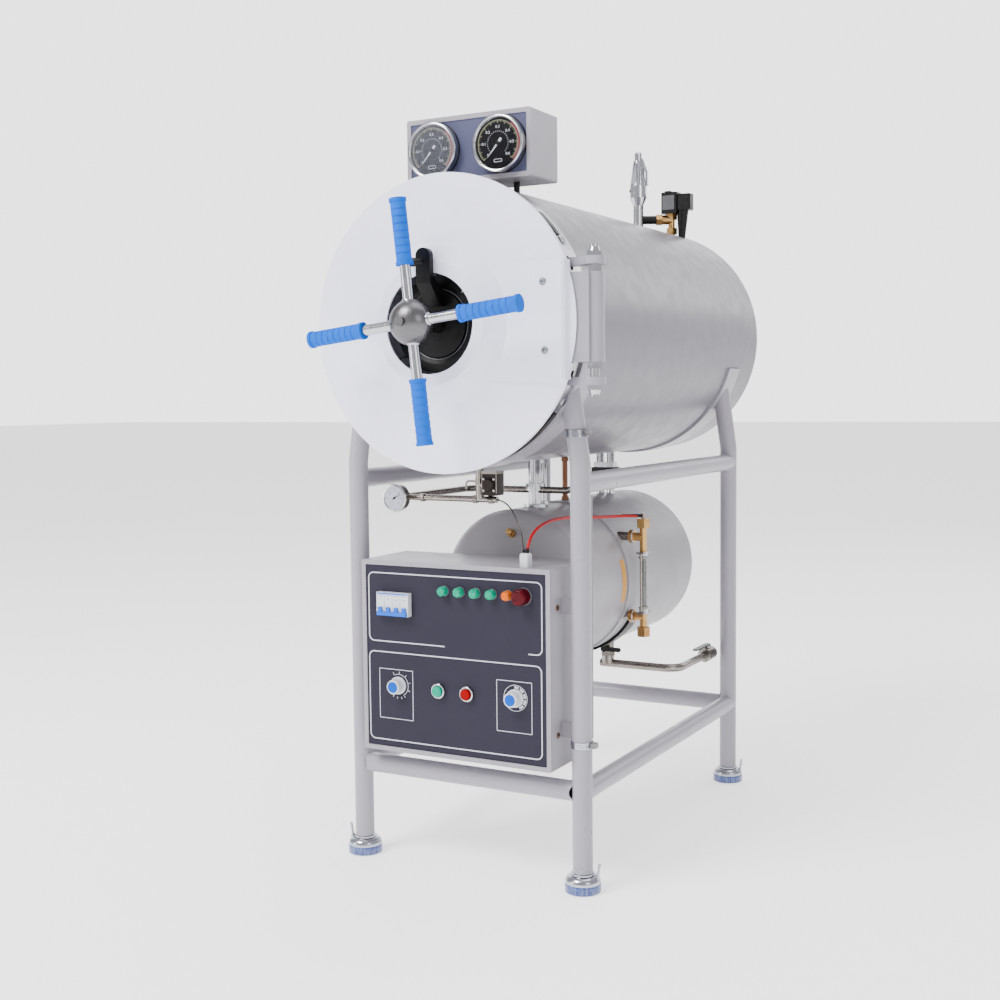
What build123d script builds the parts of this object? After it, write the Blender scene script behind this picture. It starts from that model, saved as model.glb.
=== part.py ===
from build123d import *
from math import cos, pi, radians, sin, sqrt, tan
import os

# Horizontal autoclave: a jacketed cylindrical chamber with a hand-wheel door, carried on a
# four-legged tube stand with its own steam generator and control box underneath.
# Millimetres, +Z up, floor at z = 0, the door faces -Y and its hinge is on the +X side.

# Where things stand.
vessel_x = -17.0            # middle plane of the vessel and the stand
front_leg_y = -377.0        # centre line of the front legs
vessel_z = 1048.0           # height of the vessel's axis
leg_half_pitch = 243.0      # leg centre line to the middle plane
leg_pitch_y = 808.0         # front legs to rear legs

# Vessel.
jacket_radius = 264.0
jacket_wall = 4.0
jacket_length = 948.0       # front leg plane to the start of the rear end
rear_end_depth = 27.0
chamber_bore = 440.0
chamber_wall = 5.0
chamber_dish = 26.0          # bulge of the chamber's back
chamber_back_y = 900.0      # inside depth of the chamber behind the front leg plane
ring_depth = 50.0           # front ring stands forward of the front leg plane
ring_face_depth = 20.0      # sealing face, behind the front edge of the ring
collar_wall = 17.0          # outer collar of the ring around the door plate
saddle_width = 70.0
saddle_thickness = 5.0

# Stand.
tube_radius = 19.0
tube_wall = 1.5
lower_rail_z = 187.0
upper_rail_z = 757.0
leg_bend_z = 790.0          # the legs lean inwards above this height
leg_lean = 8.0              # degrees
foot_radius = 33.5
foot_height = 32.0
foot_rim_height = 20.0
foot_edge = 3.0
foot_bolt_radius = 5.5
foot_bolt_z = 25.0
foot_bolt_reach = 32.0
foot_lever_radius = 2.5
foot_lever_reach = 37.0     # tip of the locking lever, out from the leg centre line
foot_lever_z = 55.0
saddle_half_angle = 74.0    # degrees

# Door.
cover_radius = 274.0
cover_front = 79.0          # front edge of the cover, forward of the front leg plane
cover_rim = 10.0
cover_sheet = 3.0
cone_radius = 150.0         # foot of the central boss
cone_front = 94.0
boss_radius = 112.0
boss_front = 121.0
cover_hole_radius = 91.0
door_plate_radius = 240.0
door_plate_thickness = 13.0
gasket_bore_radius = 224.0
gasket_outer_radius = 236.0
gasket_thickness = 4.0
seal_gap = 0.3
arm_cover_half_height = 104.0
arm_cover_reach = 258.0     # right edge of the raised arm cover
arm_cover_front = 96.0
arm_cover_start = 100.0     # left edge of the arm cover, hidden behind the cone
arm_cover_corner = 4.0
arm_cover_notch = 30.0      # depth of the cut for the arm in the end of the arm cover
gasket_lip = 1.0            # gasket proud of the door plate
bar_slot_gap = 1.0
cover_post_circle = 200.0    # radius of the circle of posts that carry the cover
cover_post_radius = 7.0
arm_opening = 2.0           # room round the arm where it leaves the cover
bar_count = 8
bar_width = 26.0
bar_thickness = 9.0
bar_reach = 236.0
bar_hub_radius = 70.0

# Hinge.
hinge_offset_x = 296.0      # hinge pin to the middle plane
hinge_front = 51.0          # hinge pin forward of the front leg plane
hinge_pin_radius = 8.0
pin_clearance = 0.3
lug_thickness = 14.0
lug_radius = 20.0
lug_root_front = 42.0       # foot of the lug on the ring, forward of the front leg plane
lug_root_rear = 24.0
lug_upper_offset = 102.0    # middle of the upper lug above the vessel axis
lug_lower_offset = -107.0
barrel_radius = 18.0
barrel_top_offset = 82.0
barrel_bottom_offset = -74.0
arm_thickness = 18.0
arm_rear = 57.0             # rear face of the arm, forward of the front leg plane
nut_across_flats = 24.0
nut_height = 11.0
nut_gap = 0.4
acorn_radius = 11.0
acorn_height = 20.0
acorn_taper = 22.0          # degrees
acorn_hex_share = 0.45

# Hand wheel and lock.
wheel_front = 180.0         # wheel plane, forward of the front leg plane
hub_radius = 40.0
hub_flatten = 36.0          # half length of the hub along its axis
wheel_shaft_radius = 17.0
shaft_clearance = 0.4
hub_button_radius = 9.0
hub_button_height = 5.0
wheel_turn = 6.5            # degrees, as the wheel stands at rest
spoke_radius = 9.75
spoke_reach = 214.0
grip_radius = 15.75
grip_start = 101.0
grip_length = 118.0
grip_flange = 1.6           # collars at both ends of a grip, over its body
grip_flange_length = 6.0
grip_groove = 1.0
grip_groove_width = 2.0
grip_groove_pitch = 13.0
grip_groove_count = 7
housing_front = 92.0
housing_clearance = 3.0
housing_ring_radius = 78.0
lever_ring_radius = 60.0
lever_ring_thickness = 12.0
lever_ring_gap = 0.5
lever_width = 30.0
lever_thickness = 12.0
lever_reach = 134.0
lever_clearance = 6.0       # lever to the front of the cover
lever_neck = 28.0
lever_peg_radius = 8.0
lever_peg_reach = 32.0
lever_peg_offset = 110.0    # peg above the wheel's axis
housing_lip = 4.0
housing_shoulder = 8.0
housing_rim = 6.0

# Gauges and valves on top.
gauge_box_width = 268.0
gauge_box_depth = 110.0
gauge_box_height = 125.0
gauge_box_y = 27.0          # front of the gauge box behind the front leg plane
gauge_box_gap = 8.0         # underside of the box above the top of the vessel
gauge_border = 9.0
gauge_panel_inset = 2.0
gauge_panel_thickness = 2.0
gauge_radius = 52.5
gauge_depth = 16.0
gauge_bezel_width = 5.0
gauge_bezel_depth = 3.0
gauge_spacing = 143.0
gauge_stub_radius = 6.0
gauge_stub_spacing = 150.0
relief_y = 850.0
relief_pipe_radius = 12.5
relief_pipe_top = 62.0
relief_body_radius = 20.5
relief_body_bottom = 80.0
relief_body_top = 108.0
relief_bonnet_top = 168.0
relief_bonnet_radius = 12.0
relief_stem_radius = 5.0
relief_window_width = 26.0
relief_knob_radius = 9.0
relief_height = 190.0
relief_lever_width = 8.0
relief_sink = 3.0           # the valve's pipe starts below the top of the vessel
branch_z = 28.0             # branch pipe above the foot of the safety valve
branch_radius = 10.0
inlet_x = 70.0
inlet_y = 890.0
inlet_stem_radius = 8.0
inlet_hex = 24.0
inlet_hex_height = 14.0
inlet_body_radius = 11.0
inlet_coil_bottom = 48.0    # coil above the foot of the inlet valve
inlet_coil_width = 40.0
inlet_coil_depth = 44.0
inlet_coil_height = 50.0
inlet_plug_width = 34.0
inlet_plug_depth = 30.0
inlet_plug_height = 38.0
inlet_cap_radius = 9.0
inlet_cap_height = 5.0
inlet_shroud_radius = 14.0

# Steam generator.
tank_radius = 164.0
tank_z = 522.0
tank_front_y = 205.0
tank_step_y = 397.0
tank_rear_radius = 167.5
tank_rear_y = 768.0
tank_front_bulge = 50.0
tank_rear_bulge = 58.0
tank_foot_width = 45.0
tank_foot_thickness = 6.0
tank_foot_y = 470.0
steam_pipe_y = 290.0
steam_pipe_radius = 13.0
steam_clamp_radius = 19.0
steam_clamp_height = 14.0
steam_clamp_drop = 8.0      # clamp below the middle of the steam pipe
steam_flange_radius = 24.0
steam_flange_height = 5.0
loop_pipe_radius = 7.0
loop_left_x = -150.0
loop_right_x = 100.0
loop_bend = 28.0
return_pipe_y = 650.0
return_pipe_radius = 9.0
return_pipe_pitch = 26.0
blowdown_x = 40.0
blowdown_y = 570.0
blowdown_radius = 14.0
blowdown_union_radius = 17.0
blowdown_union_z = 326.0
blowdown_union_height = 12.0
blowdown_valve_z = 344.0
blowdown_stem_radius = 5.0
drain_z = 308.0
drain_radius = 9.0
drain_turn_x = 207.0
drain_valve_y = 745.0
valve_body_radius = 16.0
valve_body_length = 44.0
stem_radius = 4.0
stem_clearance = 0.3
lever_blade = 3.0
lever_handle_width = 14.0
drain_lever_length = 85.0
blowdown_lever_length = 42.0
lever_gap = 5.0             # lever to the pipe or valve it passes

# Level gauge on the tank.
glass_stand_off = 22.5      # glass to the side of the tank
gauge_glass_y = 420.0
glass_radius = 7.0
glass_bottom_z = 458.0
glass_top_z = 582.0
level_stub_radius = 9.0
level_block_radius = 7.5
level_hex = 25.0
level_hex_height = 20.0
level_coupling_hex = 24.0
level_coupling_length = 22.0
level_coupling_end = 9.0   # end of the coupling, from the glass
clip_length = 40.0
clip_height = 4.0
clip_width = 16.0
terminal_radius = 4.0
terminal_height = 12.0
level_upper_z = 617.0
level_lower_z = 447.0
level_top_z = 656.0
level_bottom_z = 405.0
guard_rod_radius = 2.5
guard_rod_offset = 11.0

# Exhaust pipe under the front of the vessel.
exhaust_x = 22.0
exhaust_y = 20.0
exhaust_z = 721.0
exhaust_radius = 6.0
exhaust_nipple_radius = 8.0
exhaust_valve_x = 50.0
exhaust_valve_z = 750.0
exhaust_valve_width = 32.0
exhaust_valve_depth = 30.0
exhaust_valve_height = 42.0
exhaust_union_radius = 11.0
exhaust_union_height = 10.0
exhaust_hook_radius = 2.0
exhaust_hook_reach = 30.0
exhaust_end_x = 60.0
exhaust_tee_radius = 8.5
exhaust_tee_reach = 12.0
thermometer_gap = 20.0      # back of the thermometer to the exhaust pipe
thermometer_radius = 27.0
thermometer_thickness = 14.0

# Control box.
box_leg_gap = 18.5          # half of the free room between the box and the legs
box_depth = 158.0
box_bottom_z = 228.0
box_height = 374.0
box_front = 45.0            # front of the box, forward of the front leg plane
box_offset_x = -3.5
box_sheet = 2.0
panel_border = 9.0
panel_recess = 2.0
panel_thickness = 2.0
ear_height = 30.0
ear_thickness = 4.0
ear_z_pitch = 230.0
breaker_x = -132.5
breaker_drop = 83.0         # breaker below the top of the box
breaker_width = 72.0
breaker_height = 45.0
breaker_depth = 12.0
lamp_drop = 51.5            # lamps below the top of the box
lamp_first_x = -22.0
lamp_pitch = 34.4
lamp_count = 5
lamp_radius = 9.0
lamp_depth = 16.0
alarm_x = 147.5
alarm_radius = 15.0
alarm_depth = 26.0
knob_offset_x = 128.0
knob_rise = 131.7           # knobs above the bottom of the box
knob_radius = 14.0
knob_depth = 18.0
knob_base_radius = 17.0
knob_base_depth = 4.0
knob_gap = 0.4
button_rise = 130.0
button_left_x = -36.5
button_right_x = 26.0
button_bezel_radius = 14.5
button_bezel_depth = 6.0
button_radius = 10.5
button_depth = 12.0
button_travel = 4.0
button_clearance = 0.6

# Cables.
plug_x = 141.0
plug_y = -22.0
plug_width = 18.0
plug_height = 26.0
plug_chamfer = 3.0
cable_radius = 3.0
capillary_radius = 1.5
cable_spot = 2.0            # cable and capillary beside each other in the plug
capillary_spot = -3.5
bend_share = 0.45
conduit_width = 22.0
conduit_thickness = 12.0
conduit_bottom_z = 283.0
conduit_rail_gap = 4.0
clamp_height = 12.0
clamp_sheet = 1.5
clamp_seat = 0.2            # clamp to leg, and clamp to the conduit above it
clamp_upper_z = 842.0
clamp_screw_radius = 4.5
clamp_screw_length = 16.0

# Derived places
vessel_bottom_z = vessel_z - jacket_radius
jacket_back_y = front_leg_y + jacket_length
seal_y = front_leg_y - ring_depth + ring_face_depth
door_plate_back = seal_y - seal_gap - gasket_lip
gauge_glass_x = tank_rear_radius + glass_stand_off
box_width = (leg_half_pitch - tube_radius - box_leg_gap) * 2
box_top_z = box_bottom_z + box_height
breaker_z = box_top_z - breaker_drop
lamp_row_z = box_top_z - lamp_drop
knob_z = box_bottom_z + knob_rise
button_z = box_bottom_z + button_rise
hinge_x = vessel_x + hinge_offset_x
hinge_y = front_leg_y - hinge_front
axis_plane = Plane(origin=(vessel_x, front_leg_y, vessel_z), x_dir=(1, 0, 0), z_dir=(0, -1, 0))
leg_spots = [(vessel_x + sx * leg_half_pitch, front_leg_y + ry)
             for ry in (0.0, leg_pitch_y) for sx in (-1, 1)]

os.makedirs("parts", exist_ok=True)


def profile_plane(x, z):
    """Plane whose X runs outwards from the line through (x, z) along Y, and Y runs to the rear."""
    return Plane(origin=(x, 0, z), x_dir=(1, 0, 0), z_dir=(0, 0, 1))


# Vessel.
vessel_profile = profile_plane(vessel_x, vessel_z)
chamber_radius = chamber_bore / 2
chamber_outer = chamber_radius + chamber_wall
chamber_back = front_leg_y + chamber_back_y
jacket_bore = jacket_radius - jacket_wall
vessel_axis = Axis((vessel_x, 0, vessel_z), (0, 1, 0))

with BuildPart() as vessel_jacket:
    with BuildSketch(vessel_profile):
        with BuildLine():
            Polyline(
                (chamber_outer, front_leg_y),
                (jacket_radius, front_leg_y),
                (jacket_radius, jacket_back_y),
                (jacket_bore, jacket_back_y),
                (jacket_bore, front_leg_y + jacket_wall),
                (chamber_outer, front_leg_y + jacket_wall),
                close=True,
            )
        make_face()
    revolve(axis=vessel_axis)
vessel_jacket.part.label = "vessel_jacket"
export_step(vessel_jacket.part, "parts/vessel_jacket.step")

with BuildPart() as rear_end:
    with BuildSketch(vessel_profile):
        with BuildLine():
            end_back_y = jacket_back_y + rear_end_depth
            outer_edge = Line((jacket_radius, jacket_back_y), (jacket_radius, jacket_back_y + 2.0))
            corner = RadiusArc(
                outer_edge @ 1, (jacket_radius - rear_end_depth + 2.0, end_back_y), -rear_end_depth + 2.0
            )
            Polyline(
                corner @ 1,
                (0, end_back_y),
                (0, jacket_back_y),
                outer_edge @ 0,
            )
        make_face()
    revolve(axis=vessel_axis)
rear_end.part.label = "rear_end"
export_step(rear_end.part, "parts/rear_end.step")

# The chamber is an open cup of stainless sheet with a dished back.
with BuildPart() as chamber_liner:
    for radius, back, operation in (
        (chamber_outer, chamber_back, Mode.ADD),
        (chamber_radius, chamber_back - chamber_wall, Mode.SUBTRACT),
    ):
        with BuildSketch(vessel_profile):
            with BuildLine():
                dish_arc = TangentArc((0, back + chamber_dish), (radius, back), tangent=(1, 0))
                Polyline(dish_arc @ 1, (radius, front_leg_y), (0, front_leg_y), dish_arc @ 0)
            make_face()
        revolve(axis=vessel_axis, mode=operation)
chamber_liner.part.label = "chamber_liner"
export_step(chamber_liner.part, "parts/chamber_liner.step")

# The front ring closes the jacket, carries the sealing face and stands round the door plate.
with BuildPart() as front_ring:
    with BuildSketch(vessel_profile):
        with BuildLine():
            Polyline(
                (chamber_radius, front_leg_y),
                (chamber_radius, seal_y),
                (jacket_radius - collar_wall, seal_y),
                (jacket_radius - collar_wall, front_leg_y - ring_depth),
                (jacket_radius, front_leg_y - ring_depth),
                (jacket_radius, front_leg_y),
                close=True,
            )
        make_face()
    revolve(axis=vessel_axis)
    with BuildSketch(axis_plane.offset(ring_depth - ring_face_depth / 2)):
        with PolarLocations(jacket_radius - collar_wall / 2, bar_count, start_angle=180 / bar_count):
            Rectangle(collar_wall + bar_slot_gap * 2, bar_width + bar_slot_gap * 2)
    extrude(amount=(bar_thickness + bar_slot_gap) / 2, both=True, mode=Mode.SUBTRACT)
front_ring.part.label = "front_ring"
export_step(front_ring.part, "parts/front_ring.step")

# Stand.
leg_top_z = vessel_z
saddle_outer = jacket_radius + saddle_thickness


def leg_path(x, y, side):
    """Upright with the top leaning in towards the vessel."""
    reach = (leg_top_z - leg_bend_z) * tan(radians(leg_lean))
    return [(x, y, foot_rim_height), (x, y, leg_bend_z), (x - side * reach, y, leg_top_z)]


def leg(x, y):
    """Hollow tube leg cut to the curve of the saddle above it."""
    side = 1 if x > vessel_x else -1
    with BuildPart() as one_leg:
        with BuildLine():
            path = FilletPolyline(*leg_path(x, y, side), radius=tube_radius * 4)
        with BuildSketch(Plane(origin=(x, y, foot_rim_height), z_dir=(0, 0, 1))):
            Circle(tube_radius)
            Circle(tube_radius - tube_wall, mode=Mode.SUBTRACT)
        sweep(path=path.wires()[0])
        with BuildSketch(Plane(origin=(vessel_x, y, vessel_z), x_dir=(1, 0, 0), z_dir=(0, -1, 0))):
            Circle(saddle_outer)
        extrude(amount=tube_radius * 2, both=True, mode=Mode.SUBTRACT)
        with BuildSketch(Plane.XY.offset(vessel_z)):
            with Locations((x, y)):
                Rectangle(tube_radius * 6, tube_radius * 6)
        extrude(amount=-tube_radius, mode=Mode.SUBTRACT)
    return one_leg.part


leg_names = ["leg_front_left", "leg_front_right", "leg_rear_left", "leg_rear_right"]
for leg_name, (leg_x, leg_y) in zip(leg_names, leg_spots):
    leg_part = leg(leg_x, leg_y)
    leg_part.label = leg_name
    export_step(leg_part, f"parts/{leg_name}.step")

# Each foot is a turned cup with a bolt on its outer side and a small locking lever on the bolt.
with BuildPart() as feet:
    for foot_x, foot_y in leg_spots:
        outward = 1 if foot_x > vessel_x else -1
        with BuildSketch(Plane(origin=(foot_x, foot_y, 0), x_dir=(1, 0, 0), z_dir=(0, -1, 0))):
            with BuildLine():
                Line((0, 0), (foot_radius - foot_edge, 0))
                TangentArc((foot_radius - foot_edge, 0), (foot_radius, foot_edge), tangent=(1, 0))
                Line((foot_radius, foot_edge), (foot_radius, foot_rim_height))
                TangentArc((foot_radius, foot_rim_height), (tube_radius, foot_height), tangent=(0, 1))
                Polyline(
                    (tube_radius, foot_height),
                    (tube_radius, foot_rim_height),
                    (0, foot_rim_height),
                    (0, 0),
                )
            make_face()
        revolve(axis=Axis((foot_x, foot_y, 0), (0, 0, 1)))
        bolt_plane = Plane(origin=(foot_x, foot_y, foot_bolt_z), z_dir=(outward, 0, 0))
        with BuildSketch(bolt_plane.offset(tube_radius)):
            RegularPolygon(foot_bolt_radius, 6, major_radius=False)
        extrude(amount=foot_bolt_reach - tube_radius)
        lever_run = Vector(outward * (foot_lever_reach - foot_bolt_reach), 0, foot_lever_z - foot_bolt_z)
        lever_foot = (foot_x + outward * (foot_bolt_reach - foot_bolt_radius / 2), foot_y, foot_bolt_z)
        with BuildSketch(Plane(origin=lever_foot, z_dir=lever_run.normalized())):
            Circle(foot_lever_radius)
        extrude(amount=lever_run.length)
feet.part.label = "feet"
export_step(feet.part, "parts/feet.step")


def rail(start, end, crossed=False):
    """Straight rail between two leg centre lines, coped against both legs and any rail it meets."""
    run = Vector(*end) - Vector(*start)
    with BuildPart() as one_rail:
        with BuildSketch(Plane(origin=start, z_dir=run.normalized())):
            Circle(tube_radius)
            Circle(tube_radius - tube_wall, mode=Mode.SUBTRACT)
        extrude(amount=run.length)
        with BuildSketch(Plane.XY.offset(start[2] - tube_radius * 2)):
            with Locations((start[0], start[1]), (end[0], end[1])):
                Circle(tube_radius)
        extrude(amount=tube_radius * 4, mode=Mode.SUBTRACT)
        if crossed:
            with BuildSketch(Plane(origin=(start[0], start[1], start[2]), z_dir=(0, 1, 0))):
                Circle(tube_radius)
            extrude(amount=tube_radius * 2, both=True, mode=Mode.SUBTRACT)
            with BuildSketch(Plane(origin=(end[0], end[1], end[2]), z_dir=(0, 1, 0))):
                Circle(tube_radius)
            extrude(amount=tube_radius * 2, both=True, mode=Mode.SUBTRACT)
    return one_rail.part


left_x = vessel_x - leg_half_pitch
right_x = vessel_x + leg_half_pitch
rear_leg_y = front_leg_y + leg_pitch_y

with BuildPart() as rail_front:
    add(rail((left_x, front_leg_y, lower_rail_z), (right_x, front_leg_y, lower_rail_z), crossed=True))
rail_front.part.label = "rail_front"
export_step(rail_front.part, "parts/rail_front.step")

with BuildPart() as rail_rear:
    add(rail((left_x, rear_leg_y, lower_rail_z), (right_x, rear_leg_y, lower_rail_z), crossed=True))
rail_rear.part.label = "rail_rear"
export_step(rail_rear.part, "parts/rail_rear.step")

with BuildPart() as lower_side_rails:
    for side_x in (left_x, right_x):
        add(rail((side_x, front_leg_y, lower_rail_z), (side_x, rear_leg_y, lower_rail_z)))
lower_side_rails.part.label = "lower_side_rails"
export_step(lower_side_rails.part, "parts/lower_side_rails.step")

with BuildPart() as upper_side_rails:
    for side_x in (left_x, right_x):
        add(rail((side_x, front_leg_y, upper_rail_z), (side_x, rear_leg_y, upper_rail_z)))
upper_side_rails.part.label = "upper_side_rails"
export_step(upper_side_rails.part, "parts/upper_side_rails.step")

# Curved plates between the leg tops and the underside of the vessel.
with BuildPart() as saddles:
    for saddle_y in (front_leg_y + saddle_width / 2 - tube_radius, rear_leg_y):
        with BuildSketch(Plane(origin=(vessel_x, saddle_y, vessel_z), x_dir=(1, 0, 0), z_dir=(0, -1, 0))):
            Circle(saddle_outer)
            Circle(jacket_radius, mode=Mode.SUBTRACT)
            with BuildLine():
                far = saddle_outer * 3
                wing = far * sin(radians(saddle_half_angle))
                drop = far * cos(radians(saddle_half_angle))
                Polyline((0, 0), (wing, -drop), (far, far), (-far, far), (-wing, -drop), close=True)
            make_face(mode=Mode.SUBTRACT)
        extrude(amount=saddle_width / 2, both=True)
saddles.part.label = "saddles"
export_step(saddles.part, "parts/saddles.step")

# Door.
cover_rear_y = front_leg_y - cover_front + cover_rim
plate_front_y = door_plate_back - door_plate_thickness

with BuildPart() as door_plate:
    with BuildSketch(vessel_profile):
        with BuildLine():
            groove_y = door_plate_back - gasket_thickness + gasket_lip
            Polyline(
                (0, plate_front_y),
                (door_plate_radius, plate_front_y),
                (door_plate_radius, door_plate_back),
                (gasket_outer_radius, door_plate_back),
                (gasket_outer_radius, groove_y),
                (gasket_bore_radius, groove_y),
                (gasket_bore_radius, door_plate_back),
                (0, door_plate_back),
                close=True,
            )
        make_face()
    revolve(axis=vessel_axis)
door_plate.part.label = "door_plate"
export_step(door_plate.part, "parts/door_plate.step")

with BuildPart() as door_gasket:
    with BuildSketch(Plane(origin=(vessel_x, groove_y, vessel_z), x_dir=(1, 0, 0), z_dir=(0, 1, 0))):
        Circle(gasket_outer_radius)
        Circle(gasket_bore_radius, mode=Mode.SUBTRACT)
    extrude(amount=gasket_thickness)
door_gasket.part.label = "door_gasket"
export_step(door_gasket.part, "parts/door_gasket.step")

# Cross arm from the middle of the door to the hinge barrel, which turns on the pin.
arm_rear_y = front_leg_y - arm_rear
arm_front_y = arm_rear_y - arm_thickness
barrel_height = barrel_top_offset - barrel_bottom_offset
barrel_mid_z = vessel_z + (barrel_top_offset + barrel_bottom_offset) / 2
with BuildPart() as hinge_arm:
    with BuildSketch(Plane(origin=(hinge_x, hinge_y, barrel_mid_z - barrel_height / 2), z_dir=(0, 0, 1))):
        Circle(barrel_radius)
    extrude(amount=barrel_height)
    with BuildSketch(Plane.XY.offset(barrel_mid_z - barrel_height / 2)):
        with BuildLine():
            Polyline(
                (vessel_x + housing_ring_radius, arm_front_y),
                (hinge_x, arm_front_y),
                (hinge_x, arm_rear_y),
                (vessel_x + housing_ring_radius, arm_rear_y),
                close=True,
            )
        make_face()
    extrude(amount=barrel_height)
    with BuildSketch(Plane(origin=(hinge_x, hinge_y, barrel_mid_z - barrel_height / 2), z_dir=(0, 0, 1))):
        Circle(hinge_pin_radius + pin_clearance)
    extrude(amount=barrel_height, mode=Mode.SUBTRACT)
hinge_arm.part.label = "hinge_arm"
export_step(hinge_arm.part, "parts/hinge_arm.step")

# The bars run out from the lock housing, and are drawn in at rest.
bar_front_y = plate_front_y - bar_thickness
with BuildPart() as lock_bars:
    with BuildSketch(Plane(origin=(vessel_x, plate_front_y, vessel_z), x_dir=(1, 0, 0), z_dir=(0, -1, 0))):
        Circle(bar_hub_radius)
        with PolarLocations(bar_reach / 2, bar_count, start_angle=180 / bar_count):
            Rectangle(bar_reach, bar_width)
    extrude(amount=bar_thickness)
lock_bars.part.label = "lock_bars"
export_step(lock_bars.part, "parts/lock_bars.step")

# Pressed cover: a shallow cone with a round boss, and a raised flat cover over the cross arm.
rim_y = front_leg_y - cover_front
cone_y = front_leg_y - cone_front
boss_y = front_leg_y - boss_front
with BuildPart() as door_cover:
    with BuildSketch(vessel_profile):
        with BuildLine():
            Polyline(
                (cover_radius, cover_rear_y),
                (cover_radius, rim_y),
                (cone_radius, cone_y),
                (boss_radius, boss_y),
                (cover_hole_radius, boss_y),
                (cover_hole_radius, boss_y + cover_sheet),
                (boss_radius - cover_sheet / 2, boss_y + cover_sheet),
                (cone_radius - cover_sheet / 2, cone_y + cover_sheet),
                (cover_radius - cover_sheet, rim_y + cover_sheet),
                (cover_radius - cover_sheet, cover_rear_y),
                close=True,
            )
        make_face()
    revolve(axis=vessel_axis)
    # The arm cover is a flat pressing whose left edge dies into the cone.
    hood_start_x = vessel_x + arm_cover_start
    hood_end_x = vessel_x + arm_cover_reach
    hood_face_y = front_leg_y - arm_cover_front
    hood_floor_z = vessel_z - arm_cover_half_height
    with BuildSketch(Plane.XY.offset(hood_floor_z)):
        with BuildLine():
            Polyline(
                (hood_start_x, hood_face_y),
                (hood_end_x - arm_cover_corner, hood_face_y),
                (hood_end_x, hood_face_y + arm_cover_corner),
                (hood_end_x, cover_rear_y),
                (hood_start_x, cover_rear_y),
                close=True,
            )
        make_face()
    extrude(amount=arm_cover_half_height * 2)
    with BuildSketch(Plane.XY.offset(hood_floor_z + cover_sheet)):
        with BuildLine():
            Polyline(
                (hood_start_x, hood_face_y + cover_sheet),
                (hood_end_x - arm_cover_corner, hood_face_y + cover_sheet),
                (hood_end_x - cover_sheet, hood_face_y + arm_cover_corner + cover_sheet / 2),
                (hood_end_x - cover_sheet, cover_rear_y),
                (hood_start_x, cover_rear_y),
                close=True,
            )
        make_face()
    extrude(amount=(arm_cover_half_height - cover_sheet) * 2, mode=Mode.SUBTRACT)
    # Open the end of the arm cover and the rim behind it for the arm.
    with BuildSketch(Plane.XY.offset(barrel_mid_z - barrel_height / 2 - arm_opening)):
        with BuildLine():
            notch_start = hood_end_x - arm_cover_notch
            notch_end = vessel_x + cover_radius + cover_sheet
            Polyline(
                (notch_start, arm_front_y - arm_opening),
                (notch_end, arm_front_y - arm_opening),
                (notch_end, cover_rear_y + cover_sheet),
                (notch_start, cover_rear_y + cover_sheet),
                close=True,
            )
        make_face()
    extrude(amount=barrel_height + arm_opening * 2, mode=Mode.SUBTRACT)
    # Posts on the door plate carry the cover.
    post_tip = cover_front - cover_sheet / 2 + (cone_front - cover_front) * (
        (cover_radius - cover_post_circle) / (cover_radius - cone_radius)
    )
    with BuildSketch(Plane(origin=(vessel_x, plate_front_y, vessel_z), x_dir=(1, 0, 0), z_dir=(0, -1, 0))):
        with PolarLocations(cover_post_circle, 4, start_angle=45):
            Circle(cover_post_radius)
    extrude(amount=post_tip + plate_front_y - front_leg_y)
door_cover.part.label = "door_cover"
export_step(door_cover.part, "parts/door_cover.step")

# Cast housing in the hole of the cover, round the shaft of the hand wheel.
housing_radius = cover_hole_radius - housing_clearance
housing_y = front_leg_y - housing_front
with BuildPart() as lock_housing:
    with BuildSketch(vessel_profile):
        with BuildLine():
            Polyline(
                (wheel_shaft_radius + shaft_clearance, bar_front_y),
                (housing_ring_radius, bar_front_y),
                (housing_radius, bar_front_y - housing_shoulder),
                (housing_radius, housing_y),
                (housing_ring_radius - housing_rim, housing_y),
                (lever_ring_radius + lever_ring_gap, housing_y + housing_lip),
                (lever_ring_radius + lever_ring_gap, housing_y + lever_ring_thickness),
                (wheel_shaft_radius + shaft_clearance, housing_y + lever_ring_thickness),
                close=True,
            )
        make_face()
    revolve(axis=vessel_axis)
    with BuildSketch(Plane(origin=(0, arm_rear_y, barrel_mid_z - barrel_height / 2), z_dir=(0, 0, 1))):
        with BuildLine():
            Polyline(
                (vessel_x + housing_ring_radius, 0),
                (vessel_x + cover_hole_radius, 0),
                (vessel_x + cover_hole_radius, -arm_thickness),
                (vessel_x + housing_ring_radius, -arm_thickness),
                close=True,
            )
        make_face()
    extrude(amount=barrel_height, mode=Mode.SUBTRACT)
lock_housing.part.label = "lock_housing"
export_step(lock_housing.part, "parts/lock_housing.step")

# Hand wheel.
wheel_y = front_leg_y - wheel_front
wheel_plane = Plane(origin=(vessel_x, wheel_y, vessel_z), x_dir=(1, 0, 0), z_dir=(0, -1, 0))
with BuildPart() as wheel_hub:
    with BuildSketch(profile_plane(vessel_x, vessel_z)):
        with BuildLine():
            EllipticalCenterArc((0, wheel_y), hub_radius, hub_flatten, start_angle=-90, arc_size=180)
            Line((0, wheel_y - hub_flatten), (0, wheel_y + hub_flatten))
        make_face()
    revolve(axis=vessel_axis)
    with BuildSketch(wheel_plane):
        Circle(wheel_shaft_radius)
    extrude(amount=wheel_y - bar_front_y + shaft_clearance)
    with BuildSketch(wheel_plane.offset(hub_flatten - 3.0)):
        Circle(hub_button_radius)
    extrude(amount=hub_button_height + 3.0)
wheel_hub.part.label = "wheel_hub"
export_step(wheel_hub.part, "parts/wheel_hub.step")

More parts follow.
